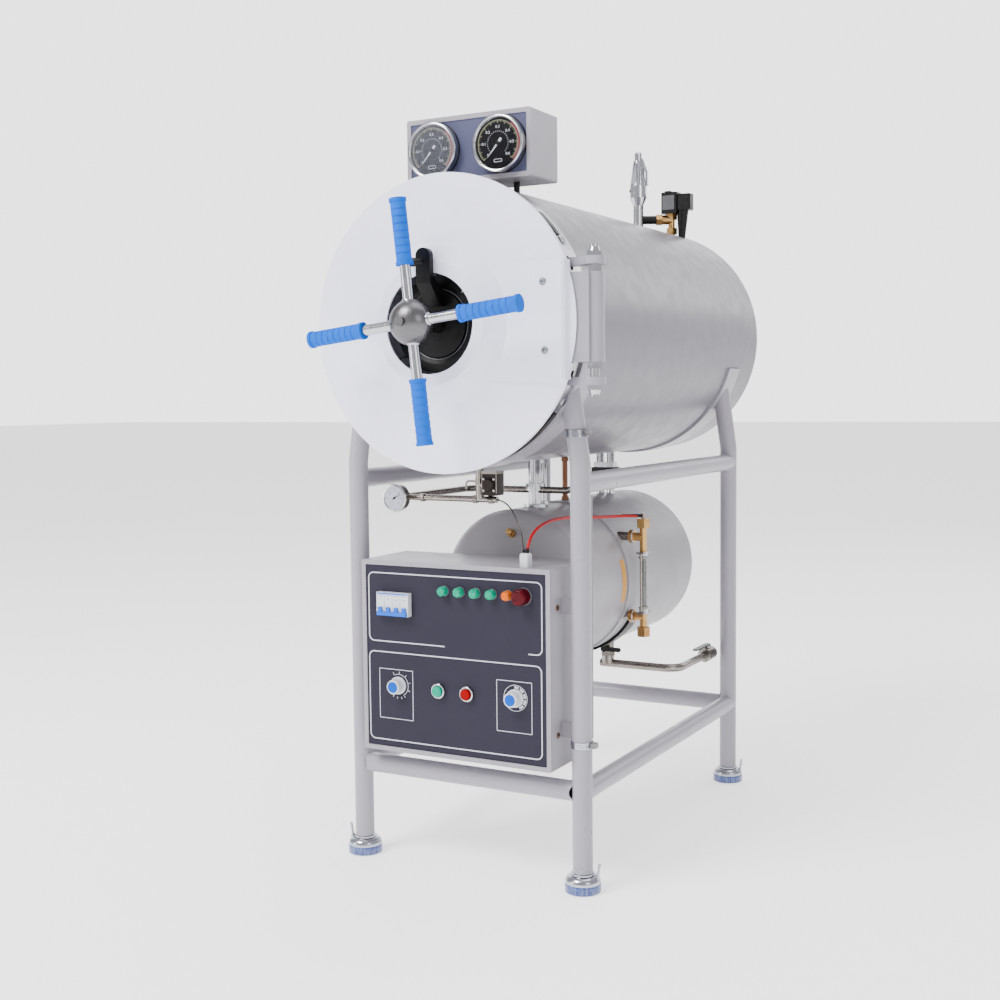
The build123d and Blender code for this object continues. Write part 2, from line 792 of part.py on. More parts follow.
with BuildPart() as wheel_spokes:
    for spoke_index in range(4):
        angle = radians(90 * spoke_index + wheel_turn)
        out = Vector(-sin(angle), 0, cos(angle))
        foot = Vector(vessel_x, wheel_y, vessel_z)
        with BuildSketch(Plane(origin=foot, z_dir=out)):
            Circle(spoke_radius)
        extrude(amount=spoke_reach)
    with BuildSketch(profile_plane(vessel_x, vessel_z)):
        with BuildLine():
            EllipticalCenterArc((0, wheel_y), hub_radius, hub_flatten, start_angle=-90, arc_size=180)
            Line((0, wheel_y - hub_flatten), (0, wheel_y + hub_flatten))
        make_face()
    revolve(axis=vessel_axis, mode=Mode.SUBTRACT)
wheel_spokes.part.label = "wheel_spokes"
export_step(wheel_spokes.part, "parts/wheel_spokes.step")

# Moulded grip: a collar at each end and a row of shallow grooves between them.
grip_body_radius = grip_radius - grip_flange
groove_start = (grip_length - grip_groove_pitch * (grip_groove_count - 1)) / 2
with BuildPart() as wheel_grips:
    for spoke_index in range(4):
        angle = radians(90 * spoke_index + wheel_turn)
        out = Vector(-sin(angle), 0, cos(angle))
        foot = Vector(vessel_x, wheel_y, vessel_z) + out * grip_start
        grip_plane = Plane(origin=foot, z_dir=out)
        with BuildSketch(grip_plane):
            Circle(grip_body_radius)
        extrude(amount=grip_length)
        for collar_start in (0.0, grip_length - grip_flange_length):
            with BuildSketch(grip_plane.offset(collar_start)):
                Circle(grip_radius)
            extrude(amount=grip_flange_length)
        for groove_index in range(grip_groove_count):
            groove_spot = groove_start + grip_groove_pitch * groove_index - grip_groove_width / 2
            with BuildSketch(grip_plane.offset(groove_spot)):
                Circle(grip_radius)
                Circle(grip_body_radius - grip_groove, mode=Mode.SUBTRACT)
            extrude(amount=grip_groove_width, mode=Mode.SUBTRACT)
        with BuildSketch(grip_plane):
            Circle(spoke_radius)
        extrude(amount=spoke_reach - grip_start, mode=Mode.SUBTRACT)
wheel_grips.part.label = "wheel_grips"
export_step(wheel_grips.part, "parts/wheel_grips.step")

# Locking lever: a ring round the shaft, with an arm that leans out over the cover.
lever_face_y = housing_y + lever_ring_thickness - lever_ring_gap
lever_back_y = front_leg_y - boss_front - lever_clearance
with BuildPart() as lock_lever:
    with BuildSketch(Plane(origin=(vessel_x, lever_face_y, vessel_z), x_dir=(1, 0, 0), z_dir=(0, -1, 0))):
        Circle(lever_ring_radius)
        Circle(wheel_shaft_radius + shaft_clearance, mode=Mode.SUBTRACT)
    extrude(amount=lever_ring_thickness)
    with BuildSketch(Plane(origin=(vessel_x, 0, vessel_z), x_dir=(0, 1, 0), z_dir=(1, 0, 0))):
        with BuildLine():
            ring_front_y = lever_face_y - lever_ring_thickness
            Polyline(
                (lever_face_y, lever_ring_radius - lever_neck),
                (lever_face_y, lever_ring_radius - lever_thickness),
                (ring_front_y, lever_ring_radius),
                (lever_back_y, lever_ring_radius + lever_thickness * 2),
                (lever_back_y, lever_reach),
                (lever_back_y - lever_thickness, lever_reach),
                (lever_back_y - lever_thickness, lever_ring_radius + lever_thickness),
                (ring_front_y - lever_thickness, lever_ring_radius - lever_neck),
                close=True,
            )
        make_face()
    extrude(amount=lever_width / 2, both=True)
    fillet(
        lock_lever.edges().filter_by(Axis.Y).group_by(Axis.Z)[-1],
        radius=lever_width * 0.46,
    )
    with BuildSketch(Plane(
        origin=(vessel_x, lever_back_y - lever_thickness / 2, vessel_z + lever_peg_offset), z_dir=(-1, 0, 0)
    )):
        Circle(lever_peg_radius)
    extrude(amount=lever_peg_reach)
lock_lever.part.label = "lock_lever"
export_step(lock_lever.part, "parts/lock_lever.step")

# Hinge.
lug_mid_z = (vessel_z + lug_upper_offset, vessel_z + lug_lower_offset)
with BuildPart() as hinge_lugs:
    for mid_z in lug_mid_z:
        with BuildSketch(Plane.XY.offset(mid_z - lug_thickness / 2)):
            with BuildLine():
                Polyline(
                    (vessel_x + jacket_radius * 0.8, front_leg_y - lug_root_rear),
                    (vessel_x + jacket_radius * 0.8, front_leg_y - lug_root_front),
                    (hinge_x, hinge_y - lug_radius),
                    (hinge_x, hinge_y + lug_radius),
                    close=True,
                )
            make_face()
            with Locations((hinge_x, hinge_y)):
                Circle(lug_radius)
                Circle(hinge_pin_radius + pin_clearance, mode=Mode.SUBTRACT)
        extrude(amount=lug_thickness)
    with BuildSketch(axis_plane.offset(-50.0)):
        Circle(jacket_radius)
    extrude(amount=jacket_radius, mode=Mode.SUBTRACT)
hinge_lugs.part.label = "hinge_lugs"
export_step(hinge_lugs.part, "parts/hinge_lugs.step")

# Pin with a hexagon nut outside and an acorn nut beyond it at each end.
upper_face_z = lug_mid_z[0] + lug_thickness / 2
lower_face_z = lug_mid_z[1] - lug_thickness / 2
with BuildPart() as hinge_pin:
    with BuildSketch(Plane(origin=(hinge_x, hinge_y, lower_face_z - acorn_height), z_dir=(0, 0, 1))):
        Circle(hinge_pin_radius)
    extrude(amount=upper_face_z - lower_face_z + acorn_height * 2)
    for face_z, way in ((upper_face_z, 1), (lower_face_z, -1)):
        with BuildSketch(Plane(origin=(hinge_x, hinge_y, face_z), z_dir=(0, 0, way))):
            RegularPolygon(nut_across_flats / 2, 6, major_radius=False)
        extrude(amount=acorn_height * acorn_hex_share)
        acorn_z = face_z + way * acorn_height * acorn_hex_share
        with BuildSketch(Plane(origin=(hinge_x, hinge_y, acorn_z), z_dir=(0, 0, way))):
            Circle(acorn_radius)
        extrude(amount=acorn_height * (1 - acorn_hex_share), taper=acorn_taper)
    for face_z, way in (
        (vessel_z + barrel_top_offset + nut_gap, 1),
        (vessel_z + barrel_bottom_offset - nut_gap, -1),
    ):
        with BuildSketch(Plane(origin=(hinge_x, hinge_y, face_z), z_dir=(0, 0, way))):
            RegularPolygon(nut_across_flats / 2, 6, major_radius=False)
        extrude(amount=nut_height)
hinge_pin.part.label = "hinge_pin"
export_step(hinge_pin.part, "parts/hinge_pin.step")

# The round bodies that pipes and stubs are cut to fit.
tank_y = [front_leg_y + y for y in (tank_front_y, tank_step_y, tank_rear_y)]
with BuildPart() as vessel_space:
    with BuildSketch(axis_plane):
        Circle(jacket_radius)
    extrude(amount=-jacket_length)

with BuildPart() as tank_space:
    for start_y, end_y, radius in (
        (tank_y[0], tank_y[1], tank_radius),
        (tank_y[1], tank_y[2], tank_rear_radius),
    ):
        with BuildSketch(Plane(origin=(vessel_x, start_y, tank_z), z_dir=(0, 1, 0))):
            Circle(radius)
        extrude(amount=end_y - start_y)

# Gauge box on top.
vessel_top_z = vessel_z + jacket_radius
gauge_front_y = front_leg_y + gauge_box_y
gauge_bottom_z = vessel_top_z + gauge_box_gap
gauge_mid_z = gauge_bottom_z + gauge_box_height / 2
gauge_plane = Plane(origin=(vessel_x, gauge_front_y, gauge_mid_z), x_dir=(1, 0, 0), z_dir=(0, -1, 0))
with BuildPart() as gauge_box:
    with BuildSketch(gauge_plane):
        RectangleRounded(gauge_box_width, gauge_box_height, 4.0)
    extrude(amount=-gauge_box_depth)
    with BuildSketch(gauge_plane):
        RectangleRounded(
            gauge_box_width - gauge_border * 2, gauge_box_height - gauge_border * 2, 3.0
        )
    extrude(amount=-(gauge_panel_inset + gauge_panel_thickness), mode=Mode.SUBTRACT)
gauge_box.part.label = "gauge_box"
export_step(gauge_box.part, "parts/gauge_box.step")

with BuildPart() as gauge_panel:
    with BuildSketch(gauge_plane.offset(-gauge_panel_inset)):
        RectangleRounded(
            gauge_box_width - gauge_border * 2, gauge_box_height - gauge_border * 2, 3.0
        )
    extrude(amount=-gauge_panel_thickness)
gauge_panel.part.label = "gauge_panel"
export_step(gauge_panel.part, "parts/gauge_panel.step")

with BuildPart() as pressure_gauges:
    with BuildSketch(gauge_plane.offset(-gauge_panel_inset)):
        with GridLocations(gauge_spacing, 0, 2, 1):
            Circle(gauge_radius)
    extrude(amount=gauge_depth)
    with BuildSketch(gauge_plane.offset(gauge_depth - gauge_panel_inset)):
        with GridLocations(gauge_spacing, 0, 2, 1):
            Circle(gauge_radius - gauge_bezel_width)
    extrude(amount=-gauge_bezel_depth, mode=Mode.SUBTRACT)
    fillet(pressure_gauges.edges().filter_by(GeomType.CIRCLE).group_by(Axis.Y)[0], radius=1.5)
pressure_gauges.part.label = "pressure_gauges"
export_step(pressure_gauges.part, "parts/pressure_gauges.step")

with BuildPart() as gauge_stubs:
    with BuildSketch(
        Plane(origin=(vessel_x, gauge_front_y + gauge_box_depth / 2, gauge_bottom_z), z_dir=(0, 0, -1))
    ):
        with GridLocations(gauge_stub_spacing, 0, 2, 1):
            Circle(gauge_stub_radius)
    extrude(amount=jacket_radius)
    with BuildSketch(axis_plane):
        Circle(jacket_radius)
    extrude(amount=-jacket_length, mode=Mode.SUBTRACT)
gauge_stubs.part.label = "gauge_stubs"
export_step(gauge_stubs.part, "parts/gauge_stubs.step")

# Valves on top.
relief_plane = Plane(
    origin=(vessel_x, front_leg_y + relief_y, vessel_top_z - relief_sink), x_dir=(1, 0, 0), z_dir=(0, -1, 0)
)
with BuildPart() as safety_valve:
    with BuildSketch(relief_plane):
        with BuildLine():
            Polyline(
                (0, 0),
                (relief_pipe_radius, 0),
                (relief_pipe_radius, relief_pipe_top),
                (relief_body_radius, relief_body_bottom),
                (relief_body_radius, relief_body_top),
                (relief_bonnet_radius, relief_bonnet_top),
                (relief_knob_radius, relief_bonnet_top),
                (relief_knob_radius, relief_height - relief_stem_radius),
                (relief_stem_radius, relief_height),
                (0, relief_height),
                close=True,
            )
        make_face()
    revolve(axis=Axis(relief_plane.origin, (0, 0, 1)))
    # Window through the bonnet, with the spindle standing in it.
    with BuildSketch(relief_plane):
        with BuildLine():
            Polyline(
                (-relief_window_width / 2, relief_body_top + relief_stem_radius),
                (relief_window_width / 2, relief_body_top + relief_stem_radius),
                (relief_window_width / 4, relief_bonnet_top - relief_stem_radius),
                (-relief_window_width / 4, relief_bonnet_top - relief_stem_radius),
                close=True,
            )
        make_face()
    extrude(amount=relief_body_radius * 2, both=True, mode=Mode.SUBTRACT)
    with BuildSketch(Plane(relief_plane.origin).offset(relief_body_top)):
        Circle(relief_stem_radius)
    extrude(amount=relief_bonnet_top - relief_body_top)
    # Test lever from the knob down the side of the bonnet.
    with BuildSketch(relief_plane):
        with BuildLine():
            lever_side = relief_body_radius + relief_stem_radius
            FilletPolyline(
                (0, relief_height - relief_stem_radius * 1.5),
                (relief_bonnet_radius, relief_bonnet_top + relief_stem_radius),
                (lever_side, (relief_body_top + relief_bonnet_top) / 2),
                (lever_side, relief_body_top),
                (lever_side - relief_stem_radius, relief_body_top),
                (lever_side - relief_stem_radius, (relief_body_top + relief_bonnet_top) / 2),
                (relief_bonnet_radius - relief_stem_radius, relief_bonnet_top - relief_stem_radius / 2),
                (0, relief_bonnet_top),
                close=True,
                radius=1.5,
            )
        make_face()
    extrude(amount=relief_lever_width / 2, both=True)
    add(vessel_space.part, mode=Mode.SUBTRACT)
safety_valve.part.label = "safety_valve"
export_step(safety_valve.part, "parts/safety_valve.step")

# The inlet valve stands beside the safety valve, on a brass body fed from the side.
inlet_spot = (vessel_x + inlet_x, front_leg_y + inlet_y)
inlet_base_z = vessel_z + sqrt(jacket_radius**2 - inlet_x**2)
branch_mid_z = vessel_top_z - relief_sink + branch_z
inlet_coil_z = inlet_base_z + inlet_coil_bottom
with BuildPart() as inlet_fittings:
    with BuildSketch(Plane.XY.offset(inlet_base_z - inlet_hex)):
        with Locations(inlet_spot):
            Circle(inlet_stem_radius)
    extrude(amount=inlet_coil_bottom + inlet_hex)
    for hex_z in (inlet_base_z, inlet_coil_z - inlet_hex_height):
        with BuildSketch(Plane.XY.offset(hex_z)):
            with Locations(inlet_spot):
                RegularPolygon(inlet_hex / 2, 6, major_radius=False)
        extrude(amount=inlet_hex_height)
    branch_start = Vector(vessel_x, front_leg_y + relief_y, branch_mid_z)
    branch_run = Vector(inlet_spot[0], inlet_spot[1], branch_mid_z) - branch_start
    body_plane = Plane(origin=branch_start + branch_run, z_dir=-branch_run.normalized())
    with BuildSketch(body_plane):
        Circle(inlet_body_radius)
    extrude(amount=inlet_hex)
    with BuildSketch(body_plane.offset(inlet_hex)):
        RegularPolygon(inlet_hex / 2, 6, major_radius=False)
    extrude(amount=inlet_hex_height)
    add(vessel_space.part, mode=Mode.SUBTRACT)
inlet_fittings.part.label = "inlet_fittings"
export_step(inlet_fittings.part, "parts/inlet_fittings.step")

with BuildPart() as inlet_valve:
    # Black branch from the safety valve's tube to the valve body.
    with BuildSketch(Plane(origin=branch_start, z_dir=branch_run.normalized())):
        Circle(branch_radius)
    extrude(amount=branch_run.length - inlet_hex - inlet_hex_height)
    add(safety_valve.part, mode=Mode.SUBTRACT)
    with BuildSketch(Plane.XY.offset(inlet_coil_z)):
        with Locations(inlet_spot):
            RectangleRounded(inlet_coil_width, inlet_coil_depth, inlet_cap_height)
    extrude(amount=inlet_coil_height)
    with BuildSketch(Plane.XY.offset(inlet_coil_z + inlet_coil_height)):
        with Locations((inlet_spot[0] - inlet_cap_radius, inlet_spot[1])):
            Circle(inlet_cap_radius)
    extrude(amount=inlet_cap_height)
    plug_mid_x = inlet_spot[0] + (inlet_coil_width + inlet_plug_width) / 2
    with BuildSketch(Plane.XY.offset(inlet_coil_z + inlet_coil_height - inlet_cap_height)):
        with Locations((plug_mid_x - inlet_cap_height, inlet_spot[1])):
            RectangleRounded(inlet_plug_width + inlet_cap_height, inlet_plug_depth, inlet_cap_height)
    extrude(amount=-inlet_plug_height)
    # Cable shroud below the plug, tapering down to the vessel.
    plug_bottom_z = inlet_coil_z + inlet_coil_height - inlet_cap_height - inlet_plug_height
    with BuildSketch(Plane.XY.offset(plug_bottom_z)):
        with Locations((plug_mid_x - inlet_plug_width / 4, inlet_spot[1])):
            Circle(inlet_shroud_radius)
    with BuildSketch(Plane.XY.offset(inlet_base_z - inlet_hex)):
        with Locations((plug_mid_x - inlet_plug_width / 3, inlet_spot[1])):
            Circle(inlet_shroud_radius / 2)
    loft()
    add(vessel_space.part, mode=Mode.SUBTRACT)
    add(inlet_fittings.part, mode=Mode.SUBTRACT)
inlet_valve.part.label = "inlet_valve"
export_step(inlet_valve.part, "parts/inlet_valve.step")

# Steam generator.
tank_axis = Axis((vessel_x, 0, tank_z), (0, 1, 0))
tank_profile = profile_plane(vessel_x, tank_z)
with BuildPart() as steam_generator:
    with BuildSketch(tank_profile):
        with BuildLine():
            front_tip = (0, tank_y[0] - tank_front_bulge)
            front_crown = TangentArc(
                front_tip, (tank_radius * 0.86, tank_y[0] - tank_front_bulge * 0.51), tangent=(1, 0)
            )
            TangentArc(front_crown @ 1, (tank_radius, tank_y[0]), tangent=front_crown % 1)
            Polyline(
                (tank_radius, tank_y[0]),
                (tank_radius, tank_y[1]),
                (tank_rear_radius, tank_y[1]),
                (tank_rear_radius, tank_y[2]),
            )
            rear_tip = (0, tank_y[2] + tank_rear_bulge)
            rear_crown = TangentArc(
                rear_tip, (tank_rear_radius * 0.86, tank_y[2] + tank_rear_bulge * 0.51), tangent=(1, 0)
            )
            TangentArc(rear_crown @ 1, (tank_rear_radius, tank_y[2]), tangent=rear_crown % 1)
            Line(rear_tip, front_tip)
        make_face()
    revolve(axis=tank_axis)
steam_generator.part.label = "steam_generator"
export_step(steam_generator.part, "parts/steam_generator.step")

# Band under the tank.
with BuildPart() as tank_band:
    band_plane = Plane(
        origin=(vessel_x, front_leg_y + tank_foot_y, tank_z), x_dir=(1, 0, 0), z_dir=(0, -1, 0)
    )
    with BuildSketch(band_plane):
        Circle(tank_rear_radius + tank_foot_thickness)
        Circle(tank_rear_radius, mode=Mode.SUBTRACT)
        with BuildLine():
            Polyline(
                (0, 0),
                (tank_rear_radius * 2, -tank_rear_radius * 1.1),
                (tank_rear_radius * 2, tank_rear_radius * 2),
                (-tank_rear_radius * 2, tank_rear_radius * 2),
                (-tank_rear_radius * 2, -tank_rear_radius * 1.1),
                close=True,
            )
        make_face(mode=Mode.SUBTRACT)
    extrude(amount=tank_foot_width / 2, both=True)
tank_band.part.label = "tank_band"
export_step(tank_band.part, "parts/tank_band.step")


with BuildPart() as steam_pipe:
    steam_y = front_leg_y + steam_pipe_y
    with BuildSketch(Plane.XY.offset(tank_z + tank_radius / 2)):
        with Locations((vessel_x, steam_y)):
            Circle(steam_pipe_radius)
    extrude(amount=vessel_z - jacket_radius / 2 - tank_z - tank_radius / 2)
    clamp_mid_z = (vessel_bottom_z + tank_z + tank_radius) / 2 - steam_clamp_drop
    with BuildSketch(Plane.XY.offset(clamp_mid_z - steam_clamp_height / 2)):
        with Locations((vessel_x, steam_y)):
            Circle(steam_clamp_radius)
    extrude(amount=steam_clamp_height)
    with BuildSketch(Plane.XY.offset(tank_z + tank_radius / 2)):
        with Locations((vessel_x, steam_y)):
            Circle(steam_flange_radius)
    extrude(amount=tank_radius / 2 + steam_flange_height)
    add(vessel_space.part, mode=Mode.SUBTRACT)
    add(tank_space.part, mode=Mode.SUBTRACT)
steam_pipe.part.label = "steam_pipe"
export_step(steam_pipe.part, "parts/steam_pipe.step")

# Return pipe from behind the thermometer, back along the left and across to the steam pipe.
with BuildPart() as loop_pipe:
    with BuildLine():
        loop_route = FilletPolyline(
            (vessel_x + loop_left_x, front_leg_y + exhaust_y + exhaust_tee_reach, exhaust_z),
            (vessel_x + loop_left_x, steam_y, exhaust_z),
            (vessel_x + loop_right_x, steam_y, exhaust_z),
            (vessel_x + loop_right_x, steam_y, vessel_z),
            radius=loop_bend,
        )
    with BuildSketch(Plane(origin=loop_route @ 0, z_dir=(0, 1, 0))):
        Circle(loop_pipe_radius)
    sweep(path=loop_route.wires()[0])
    add(vessel_space.part, mode=Mode.SUBTRACT)
    add(steam_pipe.part, mode=Mode.SUBTRACT)
loop_pipe.part.label = "loop_pipe"
export_step(loop_pipe.part, "parts/loop_pipe.step")

with BuildPart() as return_pipes:
    return_y = front_leg_y + return_pipe_y
    with BuildSketch(Plane.XY.offset(tank_z + tank_rear_radius / 2)):
        with Locations((vessel_x, return_y)):
            with GridLocations(return_pipe_pitch, 0, 2, 1):
                Circle(return_pipe_radius)
    extrude(amount=vessel_z - jacket_radius / 2 - tank_z - tank_rear_radius / 2)
    with BuildSketch(Plane.XY.offset(vessel_bottom_z - 46.0)):
        with Locations((vessel_x, return_y)):
            Rectangle(return_pipe_pitch + return_pipe_radius * 2.6, return_pipe_radius * 2.6)
    extrude(amount=24.0)
    add(vessel_space.part, mode=Mode.SUBTRACT)
    add(tank_space.part, mode=Mode.SUBTRACT)
return_pipes.part.label = "return_pipes"
export_step(return_pipes.part, "parts/return_pipes.step")

# Blow-down nipple with its valve, and the drain pipe that runs to the right and then to the rear.
blowdown_top_z = tank_z - sqrt(tank_rear_radius**2 - blowdown_x**2)
with BuildPart() as drain_pipe:
    drain_x = vessel_x + blowdown_x
    drain_y = front_leg_y + blowdown_y
    with BuildSketch(Plane.XY.offset(drain_z)):
        with Locations((drain_x, drain_y)):
            Circle(blowdown_radius)
    extrude(amount=tank_z - drain_z - tank_rear_radius / 2)
    with BuildSketch(Plane.XY.offset(blowdown_union_z)):
        with Locations((drain_x, drain_y)):
            RegularPolygon(blowdown_union_radius, 6)
    extrude(amount=blowdown_union_height)
    with BuildSketch(Plane(origin=(drain_x, drain_y, blowdown_valve_z), z_dir=(0, -1, 0))):
        Circle(blowdown_stem_radius)
    extrude(amount=blowdown_union_radius + lever_gap)
    add(tank_space.part, mode=Mode.SUBTRACT)
    with BuildLine():
        drain_route = FilletPolyline(
            (drain_x - blowdown_union_radius, drain_y, drain_z),
            (vessel_x + drain_turn_x, drain_y, drain_z),
            (vessel_x + drain_turn_x, front_leg_y + drain_valve_y + valve_body_length, drain_z),
            radius=drain_radius * 4,
        )
    with BuildSketch(Plane(origin=drain_route @ 0, z_dir=(1, 0, 0))):
        Circle(drain_radius)
    sweep(path=drain_route.wires()[0])
    with BuildSketch(
        Plane(origin=(vessel_x + drain_turn_x, front_leg_y + drain_valve_y, drain_z), z_dir=(0, 1, 0))
    ):
        Circle(valve_body_radius)
    extrude(amount=valve_body_length)
    with BuildSketch(Plane.XY.offset(drain_z)):
        with Locations((vessel_x + drain_turn_x, front_leg_y + drain_valve_y + valve_body_length / 2)):
            Circle(valve_body_radius / 2)
    extrude(amount=valve_body_radius + lever_gap)
drain_pipe.part.label = "drain_pipe"
export_step(drain_pipe.part, "parts/drain_pipe.step")

# Quarter-turn lever on top of the drain valve.
lever_base_z = drain_z + valve_body_radius + lever_gap + stem_clearance
with BuildPart() as drain_lever:
    with BuildSketch(Plane.XY.offset(lever_base_z)):
        with Locations((vessel_x + drain_turn_x, front_leg_y + drain_valve_y + valve_body_length / 2)):
            Circle(lever_handle_width / 2)
        with Locations((
            vessel_x + drain_turn_x,
            front_leg_y + drain_valve_y + valve_body_length / 2 - drain_lever_length / 2,
        )):
            RectangleRounded(lever_handle_width, drain_lever_length, lever_handle_width / 2 - 0.5)
    extrude(amount=lever_blade)
drain_lever.part.label = "drain_lever"
export_step(drain_lever.part, "parts/drain_lever.step")

# Small quarter-turn lever on the front of the blow-down nipple, pointing to the right.
blowdown_lever_y = drain_y - blowdown_union_radius - lever_gap - stem_clearance
with BuildPart() as blowdown_lever:
    with BuildSketch(
        Plane(origin=(drain_x, blowdown_lever_y, blowdown_valve_z), x_dir=(1, 0, 0), z_dir=(0, -1, 0))
    ):
        Circle(lever_handle_width / 2)
        with Locations((blowdown_lever_length / 2, 0)):
            RectangleRounded(blowdown_lever_length, lever_handle_width * 0.7, lever_handle_width * 0.34)
    extrude(amount=lever_blade)
blowdown_lever.part.label = "blowdown_lever"
export_step(blowdown_lever.part, "parts/blowdown_lever.step")

# Level gauge on the tank.
glass_spot = (vessel_x + gauge_glass_x, front_leg_y + gauge_glass_y)
level_branches = (level_upper_z, level_lower_z)
with BuildPart() as level_gauge:
    for branch_z in level_branches:
        coupling_plane = Plane(
            origin=(glass_spot[0] - level_coupling_end - level_coupling_length, glass_spot[1], branch_z),
            z_dir=(1, 0, 0),
        )
        with BuildSketch(coupling_plane):
            RegularPolygon(level_coupling_hex / 2, 6, major_radius=False)
        extrude(amount=level_coupling_length / 2)
        with BuildSketch(coupling_plane.offset(level_coupling_length / 2)):
            Circle(level_stub_radius)
        extrude(amount=level_coupling_end + level_coupling_length / 2)
    for start_z, end_z in ((glass_top_z, level_top_z), (level_bottom_z, glass_bottom_z)):
        with BuildSketch(Plane.XY.offset(start_z)):
            with Locations(glass_spot):
                Circle(level_block_radius)
        extrude(amount=end_z - start_z)
    for hex_z in (level_top_z - level_hex_height, level_bottom_z):
        with BuildSketch(Plane.XY.offset(hex_z)):
            with Locations(glass_spot):
                RegularPolygon(level_hex / 2, 6, major_radius=False)
        extrude(amount=level_hex_height)
level_gauge.part.label = "level_gauge"
export_step(level_gauge.part, "parts/level_gauge.step")

# Steel nipples on the tank, the two clips, the guard rods and the terminal on top.
with BuildPart() as level_fittings:
    for branch_z in level_branches:
        with BuildSketch(Plane(origin=(vessel_x, glass_spot[1], branch_z), z_dir=(1, 0, 0))):
            Circle(level_stub_radius)
        extrude(amount=gauge_glass_x - level_coupling_end - level_coupling_length)
    add(tank_space.part, mode=Mode.SUBTRACT)
    for clip_z in (glass_top_z, glass_bottom_z - clip_height):
        with BuildSketch(Plane.XY.offset(clip_z)):
            with Locations(glass_spot):
                Rectangle(clip_width, clip_length)
        extrude(amount=clip_height)
    with BuildSketch(Plane.XY.offset(glass_bottom_z)):
        with Locations(glass_spot):
            with GridLocations(0, (guard_rod_offset + guard_rod_radius) * 2, 1, 2):
                Circle(guard_rod_radius)
    extrude(amount=glass_top_z - glass_bottom_z)
    with BuildSketch(Plane.XY.offset(level_top_z)):
        with Locations(glass_spot):
            Circle(terminal_radius)
    extrude(amount=terminal_height)
    add(level_gauge.part, mode=Mode.SUBTRACT)
level_fittings.part.label = "level_fittings"
export_step(level_fittings.part, "parts/level_fittings.step")

with BuildPart() as gauge_glass:
    with BuildSketch(Plane.XY.offset(glass_bottom_z)):
        with Locations(glass_spot):
            Circle(glass_radius)
    extrude(amount=glass_top_z - glass_bottom_z)
gauge_glass.part.label = "gauge_glass"
export_step(gauge_glass.part, "parts/gauge_glass.step")

# Exhaust pipe and thermometer under the front of the vessel.
exhaust_line_y = front_leg_y + exhaust_y
with BuildPart() as exhaust_pipe:
    with BuildSketch(Plane(origin=(vessel_x + loop_left_x, exhaust_line_y, exhaust_z), z_dir=(1, 0, 0))):
        Circle(exhaust_radius)
    extrude(amount=exhaust_end_x - loop_left_x)
    with BuildSketch(Plane(
        origin=(vessel_x + loop_left_x, exhaust_line_y + exhaust_tee_reach, exhaust_z), z_dir=(0, -1, 0)
    )):
        Circle(exhaust_tee_radius)
    extrude(amount=exhaust_tee_reach + thermometer_gap)
    with BuildSketch(Plane.XY.offset(exhaust_z)):
        with Locations((vessel_x + exhaust_x, exhaust_line_y)):
            Circle(exhaust_nipple_radius)
    extrude(amount=jacket_radius)
    with BuildSketch(Plane.XY.offset(exhaust_valve_z)):
        with Locations((vessel_x + exhaust_x, exhaust_line_y)):
            RegularPolygon(exhaust_union_radius, 6)
    extrude(amount=exhaust_union_height)
    # Hooked handle to the left of the union.
    hook_x = vessel_x + exhaust_x - exhaust_hook_reach
    hook_z = exhaust_valve_z + exhaust_union_height / 2
    with BuildLine():
        hook_route = FilletPolyline(
            (vessel_x + exhaust_x, exhaust_line_y, hook_z),
            (hook_x, exhaust_line_y, hook_z),
            (hook_x, exhaust_line_y, hook_z - exhaust_hook_reach / 2),
            radius=exhaust_hook_radius * 3,
        )
    with BuildSketch(Plane(origin=hook_route @ 0, z_dir=(-1, 0, 0))):
        Circle(exhaust_hook_radius)
    sweep(path=hook_route.wires()[0])
    with BuildSketch(Plane(origin=(vessel_x + exhaust_x, exhaust_line_y, exhaust_valve_z), z_dir=(1, 0, 0))):
        Circle(exhaust_nipple_radius)
    extrude(amount=exhaust_valve_x - exhaust_x)
    with BuildSketch(Plane.XY.offset(exhaust_valve_z - exhaust_valve_width / 2)):
        with Locations((vessel_x + exhaust_valve_x, exhaust_line_y)):
            Rectangle(exhaust_valve_width, exhaust_valve_depth)
    extrude(amount=exhaust_valve_height)
    add(vessel_space.part, mode=Mode.SUBTRACT)
    add(saddles.part, mode=Mode.SUBTRACT)
    add(loop_pipe.part, mode=Mode.SUBTRACT)
exhaust_pipe.part.label = "exhaust_pipe"
export_step(exhaust_pipe.part, "parts/exhaust_pipe.step")

with BuildPart() as thermometer:
    with BuildSketch(Plane(
        origin=(vessel_x + loop_left_x, exhaust_line_y - thermometer_gap, exhaust_z),
        x_dir=(1, 0, 0),
        z_dir=(0, -1, 0),
    )):
        Circle(thermometer_radius)
    extrude(amount=thermometer_thickness)
    fillet(thermometer.edges().filter_by(GeomType.CIRCLE).group_by(Axis.Y)[0], radius=1.5)
thermometer.part.label = "thermometer"
export_step(thermometer.part, "parts/thermometer.step")

